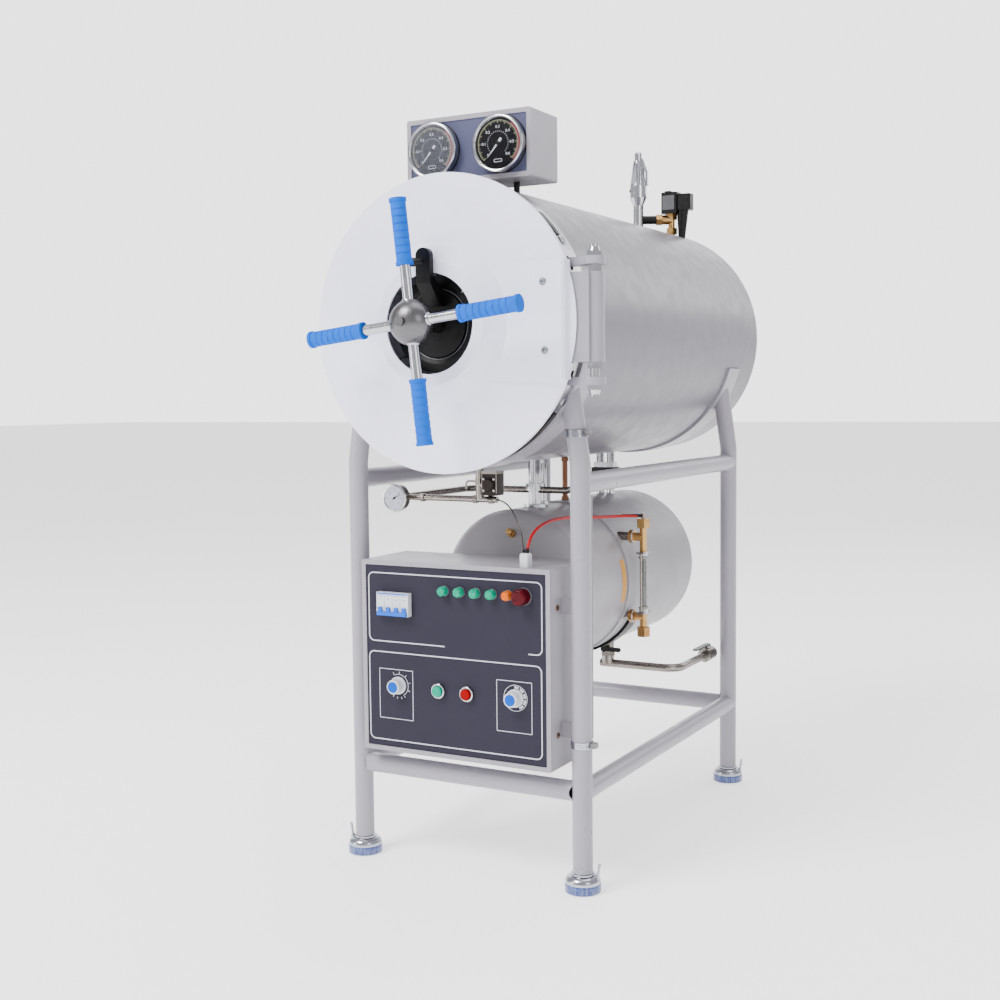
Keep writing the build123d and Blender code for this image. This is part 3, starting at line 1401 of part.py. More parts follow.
# Control box.
box_front_y = front_leg_y - box_front
box_mid_x = vessel_x + box_offset_x
box_mid_z = box_bottom_z + box_height / 2
box_plane = Plane(origin=(box_mid_x, box_front_y, box_mid_z), x_dir=(1, 0, 0), z_dir=(0, -1, 0))
ear_reach = leg_half_pitch
with BuildPart() as control_box:
    with BuildSketch(Plane(origin=(box_mid_x, front_leg_y, box_mid_z), x_dir=(1, 0, 0), z_dir=(0, 1, 0))):
        with Locations((0, ear_z_pitch / 2), (0, -ear_z_pitch / 2)):
            Rectangle(ear_reach * 2, ear_height)
    extrude(amount=ear_thickness)
    with BuildSketch(Plane.XY.offset(box_bottom_z)):
        with Locations(leg_spots[0], leg_spots[1]):
            Circle(tube_radius)
    extrude(amount=box_height, mode=Mode.SUBTRACT)
    with BuildSketch(box_plane):
        RectangleRounded(box_width, box_height, 3.0)
    extrude(amount=-box_depth)
    with BuildSketch(box_plane):
        RectangleRounded(box_width - panel_border * 2, box_height - panel_border * 2, 2.0)
    extrude(amount=-(panel_recess + panel_thickness), mode=Mode.SUBTRACT)
control_box.part.label = "control_box"
export_step(control_box.part, "parts/control_box.step")

panel_face_y = box_front_y + panel_recess
panel_plane = Plane(origin=(vessel_x, panel_face_y, 0), x_dir=(1, 0, 0), z_dir=(0, -1, 0))
with BuildPart() as control_panel:
    with BuildSketch(box_plane.offset(-panel_recess)):
        RectangleRounded(box_width - panel_border * 2, box_height - panel_border * 2, 2.0)
    extrude(amount=-panel_thickness)
control_panel.part.label = "control_panel"
export_step(control_panel.part, "parts/control_panel.step")

with BuildPart() as breaker:
    with BuildSketch(panel_plane):
        with Locations((breaker_x, breaker_z)):
            Rectangle(breaker_width, breaker_height)
    extrude(amount=breaker_depth)
breaker.part.label = "breaker"
export_step(breaker.part, "parts/breaker.step")

with BuildPart() as indicator_lamps:
    with BuildSketch(panel_plane):
        with Locations(*[(lamp_first_x + lamp_pitch * i, lamp_row_z) for i in range(lamp_count)]):
            Circle(lamp_radius)
    extrude(amount=lamp_depth)
    fillet(indicator_lamps.edges().filter_by(GeomType.CIRCLE).group_by(Axis.Y)[0], radius=4.0)
indicator_lamps.part.label = "indicator_lamps"
export_step(indicator_lamps.part, "parts/indicator_lamps.step")

with BuildPart() as alarm_lamp:
    with BuildSketch(panel_plane):
        with Locations((alarm_x, lamp_row_z)):
            Circle(alarm_radius)
    extrude(amount=alarm_depth)
    fillet(alarm_lamp.edges().filter_by(GeomType.CIRCLE).group_by(Axis.Y)[0], radius=5.0)
alarm_lamp.part.label = "alarm_lamp"
export_step(alarm_lamp.part, "parts/alarm_lamp.step")

knob_names = ["mode_knob", "timer_knob"]
for knob_name, knob_x in zip(knob_names, (-knob_offset_x, knob_offset_x)):
    with BuildPart() as knob:
        with BuildSketch(panel_plane.offset(knob_gap)):
            with Locations((knob_x, knob_z)):
                Circle(knob_base_radius)
        extrude(amount=knob_base_depth)
        with BuildSketch(panel_plane.offset(knob_gap + knob_base_depth)):
            with Locations((knob_x, knob_z)):
                Circle(knob_radius)
        extrude(amount=knob_depth)
        fillet(knob.edges().filter_by(GeomType.CIRCLE).group_by(Axis.Y)[0], radius=2.0)
    knob.part.label = knob_name
    export_step(knob.part, f"parts/{knob_name}.step")

with BuildPart() as button_bezels:
    with BuildSketch(panel_plane):
        with Locations((button_left_x, button_z), (button_right_x, button_z)):
            Circle(button_bezel_radius)
            Circle(button_radius + button_clearance, mode=Mode.SUBTRACT)
    extrude(amount=button_bezel_depth)
button_bezels.part.label = "button_bezels"
export_step(button_bezels.part, "parts/button_bezels.step")

button_names = ["start_button", "stop_button"]
for button_name, button_x in zip(button_names, (button_left_x, button_right_x)):
    with BuildPart() as button:
        with BuildSketch(panel_plane.offset(button_travel + knob_gap)):
            with Locations((button_x, button_z)):
                Circle(button_radius)
        extrude(amount=button_depth - button_travel)
        fillet(button.edges().filter_by(GeomType.CIRCLE).group_by(Axis.Y)[0], radius=1.5)
    button.part.label = button_name
    export_step(button.part, f"parts/{button_name}.step")

# Cable, plug and conduit.
with BuildPart() as cable_plug:
    with BuildSketch(Plane.XY.offset(box_top_z)):
        with Locations((vessel_x + plug_x, front_leg_y + plug_y)):
            RectangleRounded(plug_width, plug_width, 3.0)
    extrude(amount=plug_height)
    chamfer(cable_plug.faces().sort_by(Axis.Z)[-1].edges(), length=plug_chamfer)
cable_plug.part.label = "cable_plug"
export_step(cable_plug.part, "parts/cable_plug.step")

clamp_lower_z = conduit_bottom_z - clamp_seat - clamp_height
with BuildPart() as leg_conduit:
    conduit_x = vessel_x + leg_half_pitch
    with BuildSketch(Plane.XY.offset(conduit_bottom_z)):
        with Locations((conduit_x, front_leg_y + tube_radius + conduit_thickness / 2)):
            RectangleRounded(conduit_width, conduit_thickness, conduit_thickness * 0.45)
    extrude(amount=upper_rail_z - tube_radius - conduit_rail_gap - conduit_bottom_z)
    # Hose clamps round the front right leg: one under the conduit and one on the leaning top.
    clamp_leg = Vector(vessel_x + leg_half_pitch, front_leg_y, 0)
    lean_shift = (clamp_upper_z - leg_bend_z) * tan(radians(leg_lean))
    lean_way = Vector(-sin(radians(leg_lean)), 0, cos(radians(leg_lean)))
    for clamp_spot, clamp_way in (
        (clamp_leg + Vector(0, 0, clamp_lower_z), Vector(0, 0, 1)),
        (clamp_leg + Vector(-lean_shift, 0, clamp_upper_z), lean_way),
    ):
        clamp_plane = Plane(origin=clamp_spot, x_dir=(0, 1, 0), z_dir=clamp_way)
        with BuildSketch(clamp_plane):
            Circle(tube_radius + clamp_seat + clamp_sheet)
        extrude(amount=clamp_height)
        with BuildSketch(clamp_plane.offset(clamp_height / 2)):
            with Locations((0, -tube_radius - clamp_sheet - clamp_screw_radius)):
                Rectangle(clamp_screw_length, clamp_screw_radius * 2)
        extrude(amount=clamp_screw_radius, both=True)
        with BuildSketch(clamp_plane):
            Circle(tube_radius + clamp_seat)
        extrude(amount=clamp_height, mode=Mode.SUBTRACT)
leg_conduit.part.label = "leg_conduit"
export_step(leg_conduit.part, "parts/leg_conduit.step")


def bend_radii(points):
    """Radius of the arc at each inner corner of a cable's route."""
    radii = []
    for before, corner, after in zip(points, points[1:], points[2:]):
        run_in = Vector(*corner) - Vector(*before)
        run_out = Vector(*after) - Vector(*corner)
        half_turn = radians(run_in.get_angle(run_out)) / 2
        radii.append(bend_share * min(run_in.length, run_out.length) / tan(half_turn))
    return radii


def cable(points, radius, name):
    """Tube along straight runs joined by tangent arcs; prints its radii, length and volume."""
    radii = bend_radii(points)
    with BuildPart() as one_cable:
        with BuildLine():
            route = FilletPolyline(*points, radius=radii)
        route_wire = route.wires()[0]
        start = route_wire.position_at(0)
        with BuildSketch(Plane(origin=start, z_dir=route_wire.tangent_at(0))):
            Circle(radius)
        sweep(path=route_wire)
    section = pi * radius**2
    print(name, "radii", [round(r, 1) for r in radii], "length", round(route_wire.length, 1))
    filled = one_cable.part.volume / (section * route_wire.length)
    print(name, "volume over section times length", round(filled, 4))
    return one_cable.part


def beside_leg(points):
    """Points given from the middle plane and the front leg plane."""
    return [(vessel_x + x, front_leg_y + y, z) for x, y, z in points]


# Heater lead from the plug on the box, behind the leg and over the tank to the level gauge's terminal.
plug_top_z = box_top_z + plug_height
heater_points = beside_leg([
    (plug_x + cable_spot, plug_y, plug_top_z),
    (plug_x + cable_spot + 1, plug_y + 8, plug_top_z + 24),
    (146, 14, 671),
    (149, 62, 681),
    (151, 136, 681),
    (150, 226, 673),
    (154, 302, 668),
    (165, 366, 665),
    (gauge_glass_x, gauge_glass_y, level_top_z + terminal_height / 2),
])
with BuildPart() as heater_cable:
    add(cable(heater_points, cable_radius, "heater_cable"))
    add(level_fittings.part, mode=Mode.SUBTRACT)
    add(level_gauge.part, mode=Mode.SUBTRACT)
    add(cable_plug.part, mode=Mode.SUBTRACT)
heater_cable.part.label = "heater_cable"
export_step(heater_cable.part, "parts/heater_cable.step")

# Thin capillary from the end of the exhaust pipe down to the same plug.
capillary_points = beside_leg([
    (exhaust_end_x, exhaust_y, exhaust_z),
    (76, 17, 718),
    (93, 9, 708),
    (108, 0, 693),
    (121, -9, 675),
    (132, -17, 655),
    (plug_x + capillary_spot, plug_y, plug_top_z),
])
with BuildPart() as probe_capillary:
    add(cable(capillary_points, capillary_radius, "probe_capillary"))
    add(cable_plug.part, mode=Mode.SUBTRACT)
    add(exhaust_pipe.part, mode=Mode.SUBTRACT)
probe_capillary.part.label = "probe_capillary"
export_step(probe_capillary.part, "parts/probe_capillary.step")
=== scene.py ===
from math import asin, cos, degrees, pi, radians, sin, sqrt, tan

import bmesh
import bpy
from mathutils import Matrix, Vector


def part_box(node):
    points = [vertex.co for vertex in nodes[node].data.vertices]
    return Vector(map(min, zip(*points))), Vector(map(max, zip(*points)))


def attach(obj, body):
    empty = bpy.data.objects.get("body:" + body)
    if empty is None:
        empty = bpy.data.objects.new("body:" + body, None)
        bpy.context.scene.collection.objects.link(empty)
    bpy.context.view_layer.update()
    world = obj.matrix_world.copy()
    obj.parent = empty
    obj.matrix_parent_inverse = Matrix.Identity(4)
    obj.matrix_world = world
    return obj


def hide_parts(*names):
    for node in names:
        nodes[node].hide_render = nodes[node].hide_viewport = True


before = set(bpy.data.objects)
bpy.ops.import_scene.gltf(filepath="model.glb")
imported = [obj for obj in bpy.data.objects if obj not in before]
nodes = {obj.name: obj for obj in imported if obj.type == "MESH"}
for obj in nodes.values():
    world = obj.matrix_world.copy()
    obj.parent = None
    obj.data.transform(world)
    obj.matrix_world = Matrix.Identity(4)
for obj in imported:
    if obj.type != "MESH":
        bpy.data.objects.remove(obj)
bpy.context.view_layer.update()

# Horizontal autoclave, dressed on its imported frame. Metres, +Z up, door towards -Y.
scene = bpy.context.scene

# Middle plane, plane of the front legs, and height of the vessel's axis, in metres.
VX, FY, VZ = -0.017, -0.377, 1.048

# Everything below is in millimetres and degrees, from the middle plane, the front leg plane and the floor.
UP = (0, 0, 1)
RIGHT = (1, 0, 0)

# Camera, fitted to the photograph by least squares.
CAMERA_SPOT = (1283.48, -2201.12, 915.64)
CAMERA_AZIMUTH = 28.7425
CAMERA_ELEVATION = 4.4023
CAMERA_ROLL = -0.6167
CAMERA_LENS = 48.40

# Door, hand wheel and front ring.
AXIS_Z = VZ * 1000
COLLAR_RADIUS = 264.0
PLUG_RISE = 143.5
HOOD_Y = -96.0
HOUSING_Y = -92.0
WHEEL_Y = -180.0
WHEEL_TURN = 6.5

# Pressure gauges and thermometer. Their scales run clockwise from SCALE_START to SCALE_END.
DIAL_X = 71.5
DIAL_Y = 16.0
DIAL_Z = 1382.5
SCALE_START = 225.0
SCALE_END = -45.0
NEEDLE_ANGLE = 229.0
THERMOMETER_SPOT = (-150.0, -14.0, 721.0)
THERMOMETER_ANGLE = 28.0

# Control box and what stands on its panel.
BOX_SIDE_X = 202.0
PANEL_Y = -43.0
PRINT_DEPTH = 0.3
LAMP_X = -22.0
LAMP_PITCH = 34.4
LAMP_Z = 550.5
ALARM_X = 147.5
ALARM_RIBS = 14
BREAKER_X = -132.5
BREAKER_Y = -55.0
BREAKER_Z = 519.0
POLE_PITCH = 18.0
KNOB_X = 128.0
KNOB_Z = 359.7
START_X = -36.5
STOP_X = 26.0
BUTTON_Z = 358.0
BEZEL_Y = -49.0
BUTTON_Y = -55.2

# Steam generator, level gauge and pipes.
TANK_Z = 522.0
TANK_RADIUS = 164.0
TANK_FRONT_Y = 205.0
TANK_BULGE = 50.0
GLASS_X = 190.0
GLASS_Y = 420.0
BRANCH_RADIUS = 6.0
BRANCH_HEIGHTS = (700, 760, 785.5)
EXHAUST_Y = 20.0
EXHAUST_Z = 721.0
VALVE_X = 50.0
VALVE_Z = 750.0

# Legs.
LEG_X = 243.0
LEG_PITCH = 808.0
LEG_RADIUS = 19.4
LEG_BEND_Z = 790.0
LEG_LEAN = 8.0
CLAMP_HEIGHTS = (270.8, 842.0)

# Studio, in metres. BACKDROP_WAY is the level direction from the camera to the backdrop behind the machine.
BACKDROP_WAY = (-0.481, 0.877, 0.0)
FLOOR_HALF = 40.0
LAMP_AIM = (0.0, 0.0, 0.8)


def at(x, y, z):
    """Point given from the middle plane, the front leg plane and the floor, in millimetres."""
    return Vector((VX + x / 1000, FY + y / 1000, z / 1000))


def camera():
    """Camera at the photograph's viewing angle."""
    az, el, roll = radians(CAMERA_AZIMUTH), radians(CAMERA_ELEVATION), radians(CAMERA_ROLL)
    forward = Vector((-sin(az) * cos(el), cos(az) * cos(el), -sin(el)))
    level = Vector((cos(az), sin(az), 0.0))
    rise = level.cross(forward)
    right = level * cos(roll) + rise * sin(roll)
    up = rise * cos(roll) - level * sin(roll)
    data = bpy.data.cameras.new("camera")
    data.sensor_width = 36.0
    data.lens = CAMERA_LENS
    data.clip_end = 200.0
    obj = bpy.data.objects.new("camera", data)
    scene.collection.objects.link(obj)
    spot = at(*CAMERA_SPOT)
    rows = [[right[i], up[i], -forward[i], spot[i]] for i in range(3)] + [[0, 0, 0, 1]]
    obj.matrix_world = Matrix(rows)
    scene.camera = obj


camera()


def rgb(r, g, b):
    """Linear colour from 0-255 screen values."""
    out = []
    for c in (r, g, b):
        c /= 255.0
        out.append(c / 12.92 if c <= 0.04045 else ((c + 0.055) / 1.055) ** 2.4)
    return tuple(out) + (1.0,)


def shade(colour, k):
    """The colour made k times as bright."""
    return tuple(min(1.0, c * k) for c in colour[:3]) + (1.0,)


class Mat:
    """Small builder for a procedural surface."""

    def __init__(self, name, metallic=0.0, coat=0.0, coat_rough=0.08, ior=1.5, alpha=1.0):
        self.mat = bpy.data.materials.new(name)
        self.mat.use_nodes = True
        self.tree = self.mat.node_tree
        self.shader = self.tree.nodes["Principled BSDF"]
        self.shader.inputs["Metallic"].default_value = metallic
        self.shader.inputs["Coat Weight"].default_value = coat
        self.shader.inputs["Coat Roughness"].default_value = coat_rough
        self.shader.inputs["IOR"].default_value = ior
        self.shader.inputs["Alpha"].default_value = alpha
        self.coord = self.tree.nodes.new("ShaderNodeTexCoord")

    def node(self, kind, **values):
        n = self.tree.nodes.new(kind)
        for key, value in values.items():
            setattr(n, key, value)
        return n

    def link(self, a, b):
        self.tree.links.new(a, b)

    def space(self, scale):
        """Object coordinates stretched along the axes."""
        m = self.node("ShaderNodeMapping")
        m.inputs["Scale"].default_value = scale
        self.link(self.coord.outputs["Object"], m.inputs["Vector"])
        return m.outputs["Vector"]

    def noise(self, scale, detail=3.0, rough=0.5, space=None):
        n = self.node("ShaderNodeTexNoise")
        n.inputs["Scale"].default_value = scale
        n.inputs["Detail"].default_value = detail
        n.inputs["Roughness"].default_value = rough
        self.link(space or self.coord.outputs["Object"], n.inputs["Vector"])
        return n.outputs["Fac"]

    def range(self, source, a, b, low=0.3, high=0.7):
        """Map source from low..high to a..b."""
        n = self.node("ShaderNodeMapRange")
        n.inputs["From Min"].default_value = low
        n.inputs["From Max"].default_value = high
        n.inputs["To Min"].default_value = a
        n.inputs["To Max"].default_value = b
        self.link(source, n.inputs["Value"])
        return n.outputs["Result"]

    def ramp(self, source, *stops):
        """Colours at (position, colour) stops, blended along source."""
        n = self.node("ShaderNodeValToRGB")
        while len(n.color_ramp.elements) < len(stops):
            n.color_ramp.elements.new(0.5)
        for element, (position, colour) in zip(n.color_ramp.elements, stops):
            element.position = position
            element.color = colour
        self.link(source, n.inputs["Fac"])
        return n.outputs["Color"]

    def mix(self, factor, a, b):
        """Blend of a and b, each a colour or a socket."""
        n = self.node("ShaderNodeMix", data_type="RGBA")
        for socket, value in ((n.inputs[0], factor), (n.inputs[6], a), (n.inputs[7], b)):
            if isinstance(value, (int, float, tuple)):
                socket.default_value = value
            else:
                self.link(value, socket)
        return n.outputs[2]

    def base(self, source):
        self.link(source, self.shader.inputs["Base Color"])
        return self

    def rough(self, source):
        self.link(source, self.shader.inputs["Roughness"])
        return self

    def bump(self, height, strength, distance):
        n = self.node("ShaderNodeBump")
        n.inputs["Strength"].default_value = strength
        n.inputs["Distance"].default_value = distance
        self.link(height, n.inputs["Height"])
        self.link(n.outputs["Normal"], self.shader.inputs["Normal"])
        return self


def painted(name, colour, rough=0.34, coat=0.25, peel=0.25, ior=1.5):
    """Sprayed paint: cloudy tone, fine specks, orange-peel bump."""
    m = Mat(name, coat=coat, coat_rough=0.14, ior=ior)
    body = m.ramp(m.noise(5.0, 4.0), (0.3, shade(colour, 0.955)), (0.7, shade(colour, 1.03)))
    m.base(m.mix(m.range(m.noise(240.0, 2.0), 0.0, 0.05, 0.55, 0.75), body, shade(colour, 0.8)))
    m.rough(m.range(m.noise(30.0, 3.0), rough - 0.05, rough + 0.08))
    return m.bump(m.noise(620.0, 2.0), peel, 0.00035).mat


def metal(name, colour, rough=0.2, grain=(1, 1, 1), grain_scale=900.0, depth=0.12, stain=0.12, tint=None):
    """Bare or plated metal: faint stains, and grain stretched along one axis."""
    m = Mat(name, metallic=1.0)
    body = m.ramp(m.noise(14.0, 5.0, 0.6), (0.3, tint or shade(colour, 1.0 - stain)), (0.65, colour))
    lines = m.noise(grain_scale, 2.0, 0.6, m.space(grain))
    m.base(m.mix(m.range(lines, 0.0, 0.35), body, shade(colour, 0.8)))
    m.rough(m.range(m.noise(60.0, 4.0), rough - 0.06, rough + 0.1))
    return m.bump(lines, depth, 0.0002).mat


def plastic(name, colour, rough=0.35, coat=0.1, grain=0.15, vary=0.06, ior=1.5):
    """Moulded plastic: slight tone change, fine moulded grain."""
    m = Mat(name, coat=coat, ior=ior)
    m.base(m.ramp(m.noise(45.0, 3.0), (0.3, shade(colour, 1 - vary)), (0.7, shade(colour, 1 + vary))))
    m.rough(m.range(m.noise(120.0, 3.0), rough - 0.06, rough + 0.08))
    return m.bump(m.noise(1500.0, 2.0), grain, 0.0002).mat


def lens(name, colour, deep):
    """Tinted lamp lens with fine inner facets."""
    m = Mat(name, coat=0.05, coat_rough=0.08, ior=1.2)
    cells = m.node("ShaderNodeTexVoronoi")
    cells.inputs["Scale"].default_value = 420.0
    m.link(m.coord.outputs["Object"], cells.inputs["Vector"])
    m.base(m.ramp(cells.outputs["Distance"], (0.0, colour), (0.7, deep)))
    m.rough(m.range(m.noise(200.0), 0.12, 0.26))
    return m.bump(cells.outputs["Distance"], 0.25, 0.0004).mat


def film(name, colour, stripe):
    """Shiny protective film with pale upright creases."""
    m = Mat(name, coat=0.5)
    folds = m.noise(420.0, 3.0, 0.6, m.space((1, 1, 0.12)))
    m.base(m.ramp(folds, (0.42, colour), (0.58, stripe)))
    m.rough(m.range(m.noise(70.0), 0.18, 0.34))
    return m.bump(folds, 0.4, 0.0004).mat


def clear(name, colour, alpha):
    """Thin clear glass or plastic with faint dust."""
    m = Mat(name, alpha=alpha, ior=1.2)
    m.base(m.ramp(m.noise(60.0, 3.0), (0.3, shade(colour, 0.9)), (0.7, colour)))
    m.rough(m.range(m.noise(200.0), 0.04, 0.12))
    return m.bump(m.noise(40.0), 0.05, 0.0002).mat


vessel_paint = painted("vessel_paint", rgb(112, 108, 116), 0.34, 0.08, 0.05, 1.4)
tank_paint = painted("tank_paint", rgb(150, 146, 151), 0.4, 0.1, 0.12, 1.4)
frame_paint = painted("frame_paint", rgb(150, 146, 155), 0.32, 0.12, 0.05, 1.4)
cover_paint = painted("cover_paint", rgb(234, 234, 250), 0.42, 0.1, 0.04)
box_paint = painted("box_paint", rgb(150, 146, 153), 0.34, 0.05, 0.05, 1.2)
panel_paint = painted("panel_paint", rgb(46, 44, 55), 0.5, 0.0, 0.1, 1.15)
dial_panel_paint = painted("dial_panel_paint", rgb(74, 76, 102), 0.42, 0.0, 0.2, 1.3)
ring_steel = metal("ring_steel", rgb(176, 176, 180), 0.28, (1, 12, 1), 500.0)
chamber_steel = metal("chamber_steel", rgb(190, 190, 194), 0.24, (1, 0.06, 1), 900.0)
plate_steel = metal("plate_steel", rgb(176, 176, 180), 0.3)
chrome = metal("chrome", rgb(196, 196, 200), 0.14, (1, 1, 6), 700.0, 0.05)
spoke_chrome = metal("spoke_chrome", rgb(190, 190, 194), 0.16, (1, 8, 1), 700.0, 0.06)
pipe_steel = metal("pipe_steel", rgb(150, 143, 136), 0.24, (4, 1, 1), 500.0, 0.08, 0.3)
hub_steel = metal("hub_steel", rgb(108, 106, 108), 0.3, (8, 1, 1), 900.0, 0.3)
foot_chrome = metal("foot_chrome", rgb(176, 178, 186), 0.18, (1, 1, 10), 600.0, 0.08)
brass = metal("brass", rgb(206, 164, 104), 0.3, (1, 1, 5), 600.0, 0.1, 0.3, rgb(140, 100, 58))
copper = metal("copper", rgb(120, 84, 66), 0.36, (1, 1, 5), 500.0, 0.1, 0.3)
dark_iron = painted("dark_iron", rgb(30, 20, 17), 0.5, 0.0, 0.5, 1.3)
screw_bronze = metal("screw_bronze", rgb(120, 100, 80), 0.32, (1, 1, 1), 900.0, 0.2, 0.3, rgb(84, 60, 44))
black_cast = plastic("black_cast", rgb(12, 12, 13), 0.36, 0.0, 0.3, 0.25, 1.25)
black_plastic = plastic("black_plastic", rgb(15, 14, 14), 0.36, 0.0, 0.3, 0.2, 1.3)
edge_grey = plastic("edge_grey", rgb(74, 74, 78), 0.4, 0.1, 0.2, 0.1)
white_plastic = plastic("white_plastic", rgb(204, 206, 212), 0.3, 0.2, 0.15, 0.03)
ink_white = plastic("ink_white", rgb(196, 198, 206), 0.5, 0.0, 0.1, 0.04)
ink_olive = plastic("ink_olive", rgb(150, 150, 120), 0.5, 0.0, 0.1, 0.06)
ink_red = plastic("ink_red", rgb(120, 34, 46), 0.5, 0.0, 0.1, 0.06)
dial_black = plastic("dial_black", rgb(18, 17, 20), 0.5, 0.0, 0.3, 0.2, 1.15)
dial_white = plastic("dial_white", rgb(176, 180, 192), 0.4, 0.1, 0.1, 0.04)
grip_blue = plastic("grip_blue", rgb(0, 92, 200), 0.6, 0.0, 0.4, 0.05, 1.15)
cap_blue = plastic("cap_blue", rgb(0, 80, 184), 0.5, 0.0, 0.1, 0.05, 1.15)
toggle_blue = plastic("toggle_blue", rgb(10, 96, 206), 0.4, 0.0, 0.1, 0.06, 1.3)
gasket_white = plastic("gasket_white", rgb(190, 184, 176), 0.55, 0.0, 0.4, 0.04)
conduit_grey = plastic("conduit_grey", rgb(110, 107, 110), 0.4, 0.1, 0.3, 0.05)
strip_yellow = plastic("strip_yellow", rgb(198, 138, 30), 0.4, 0.1, 0.2, 0.06)
cable_red = plastic("cable_red", rgb(160, 8, 16), 0.45, 0.0, 0.2, 0.08, 1.3)
capillary_steel = metal("capillary_steel", rgb(84, 80, 78), 0.34, (1, 1, 1), 700.0, 0.15, 0.3)
lamp_green = lens("lamp_green", rgb(0, 190, 150), rgb(0, 120, 92))
lamp_orange = lens("lamp_orange", rgb(236, 120, 8), rgb(190, 76, 0))
lamp_red = lens("lamp_red", rgb(104, 6, 22), rgb(48, 2, 10))
button_green = plastic("button_green", rgb(0, 150, 120), 0.4, 0.0, 0.1, 0.05, 1.15)
button_red = plastic("button_red", rgb(138, 0, 4), 0.4, 0.0, 0.1, 0.05, 1.15)
foot_film = film("foot_film", rgb(40, 60, 128), rgb(92, 108, 156))
tube_glass = clear("tube_glass", rgb(150, 156, 152), 0.35)
dial_glass = clear("dial_glass", rgb(40, 42, 50), 0.05)
# Pale, cloudier glass on the left dial only: a painted reflection.
painted_glare_glass = clear("painted_glare_glass", rgb(150, 152, 164), 0.11)

dress = {
    frame_paint: "leg_front_left leg_front_right leg_rear_left leg_rear_right rail_front rail_rear "
                 "lower_side_rails upper_side_rails saddles hinge_lugs hinge_arm",
    vessel_paint: "vessel_jacket rear_end",
    tank_paint: "steam_generator",
    cover_paint: "door_cover",
    box_paint: "gauge_box control_box",
    dial_panel_paint: "gauge_panel",
    panel_paint: "control_panel",
    ring_steel: "front_ring",
    chamber_steel: "chamber_liner",
    plate_steel: "door_plate lock_bars",
    chrome: "hinge_pin safety_valve pressure_gauges steam_pipe return_pipes button_bezels",
    spoke_chrome: "wheel_spokes",
    pipe_steel: "drain_pipe exhaust_pipe loop_pipe level_fittings thermometer",
    hub_steel: "wheel_hub",
    foot_chrome: "feet",
    brass: "level_gauge inlet_fittings",
    black_cast: "lock_housing lock_lever tank_band",
    black_plastic: "inlet_valve drain_lever blowdown_lever gauge_stubs",
    white_plastic: "breaker cable_plug mode_knob timer_knob",
    grip_blue: "wheel_grips",
    gasket_white: "door_gasket",
    conduit_grey: "leg_conduit",
    lamp_green: "indicator_lamps",
    lamp_red: "alarm_lamp",
    button_green: "start_button",
    button_red: "stop_button",
    tube_glass: "gauge_glass",
    cable_red: "heater_cable",
    capillary_steel: "probe_capillary",
}
for material, names in dress.items():
    for name in names.split():
        mesh = nodes[name].data
        mesh.materials.clear()
        mesh.materials.append(material)


def facing(x, y, z, way=(0, -1, 0), turn=0.0):
    """Local frame whose Z looks along way, X runs level and Y runs upwards; turn is in degrees about Z."""
    out = Vector(way).normalized()
    side = Vector((1, 0, 0)) if abs(out.z) > 0.99 else Vector((0, 0, 1)).cross(out).normalized()
    rise = out.cross(side)
    axes = Matrix((side, rise, out)).transposed().to_4x4()
    return Matrix.Translation(at(x, y, z)) @ axes @ Matrix.Rotation(radians(turn), 4, "Z")


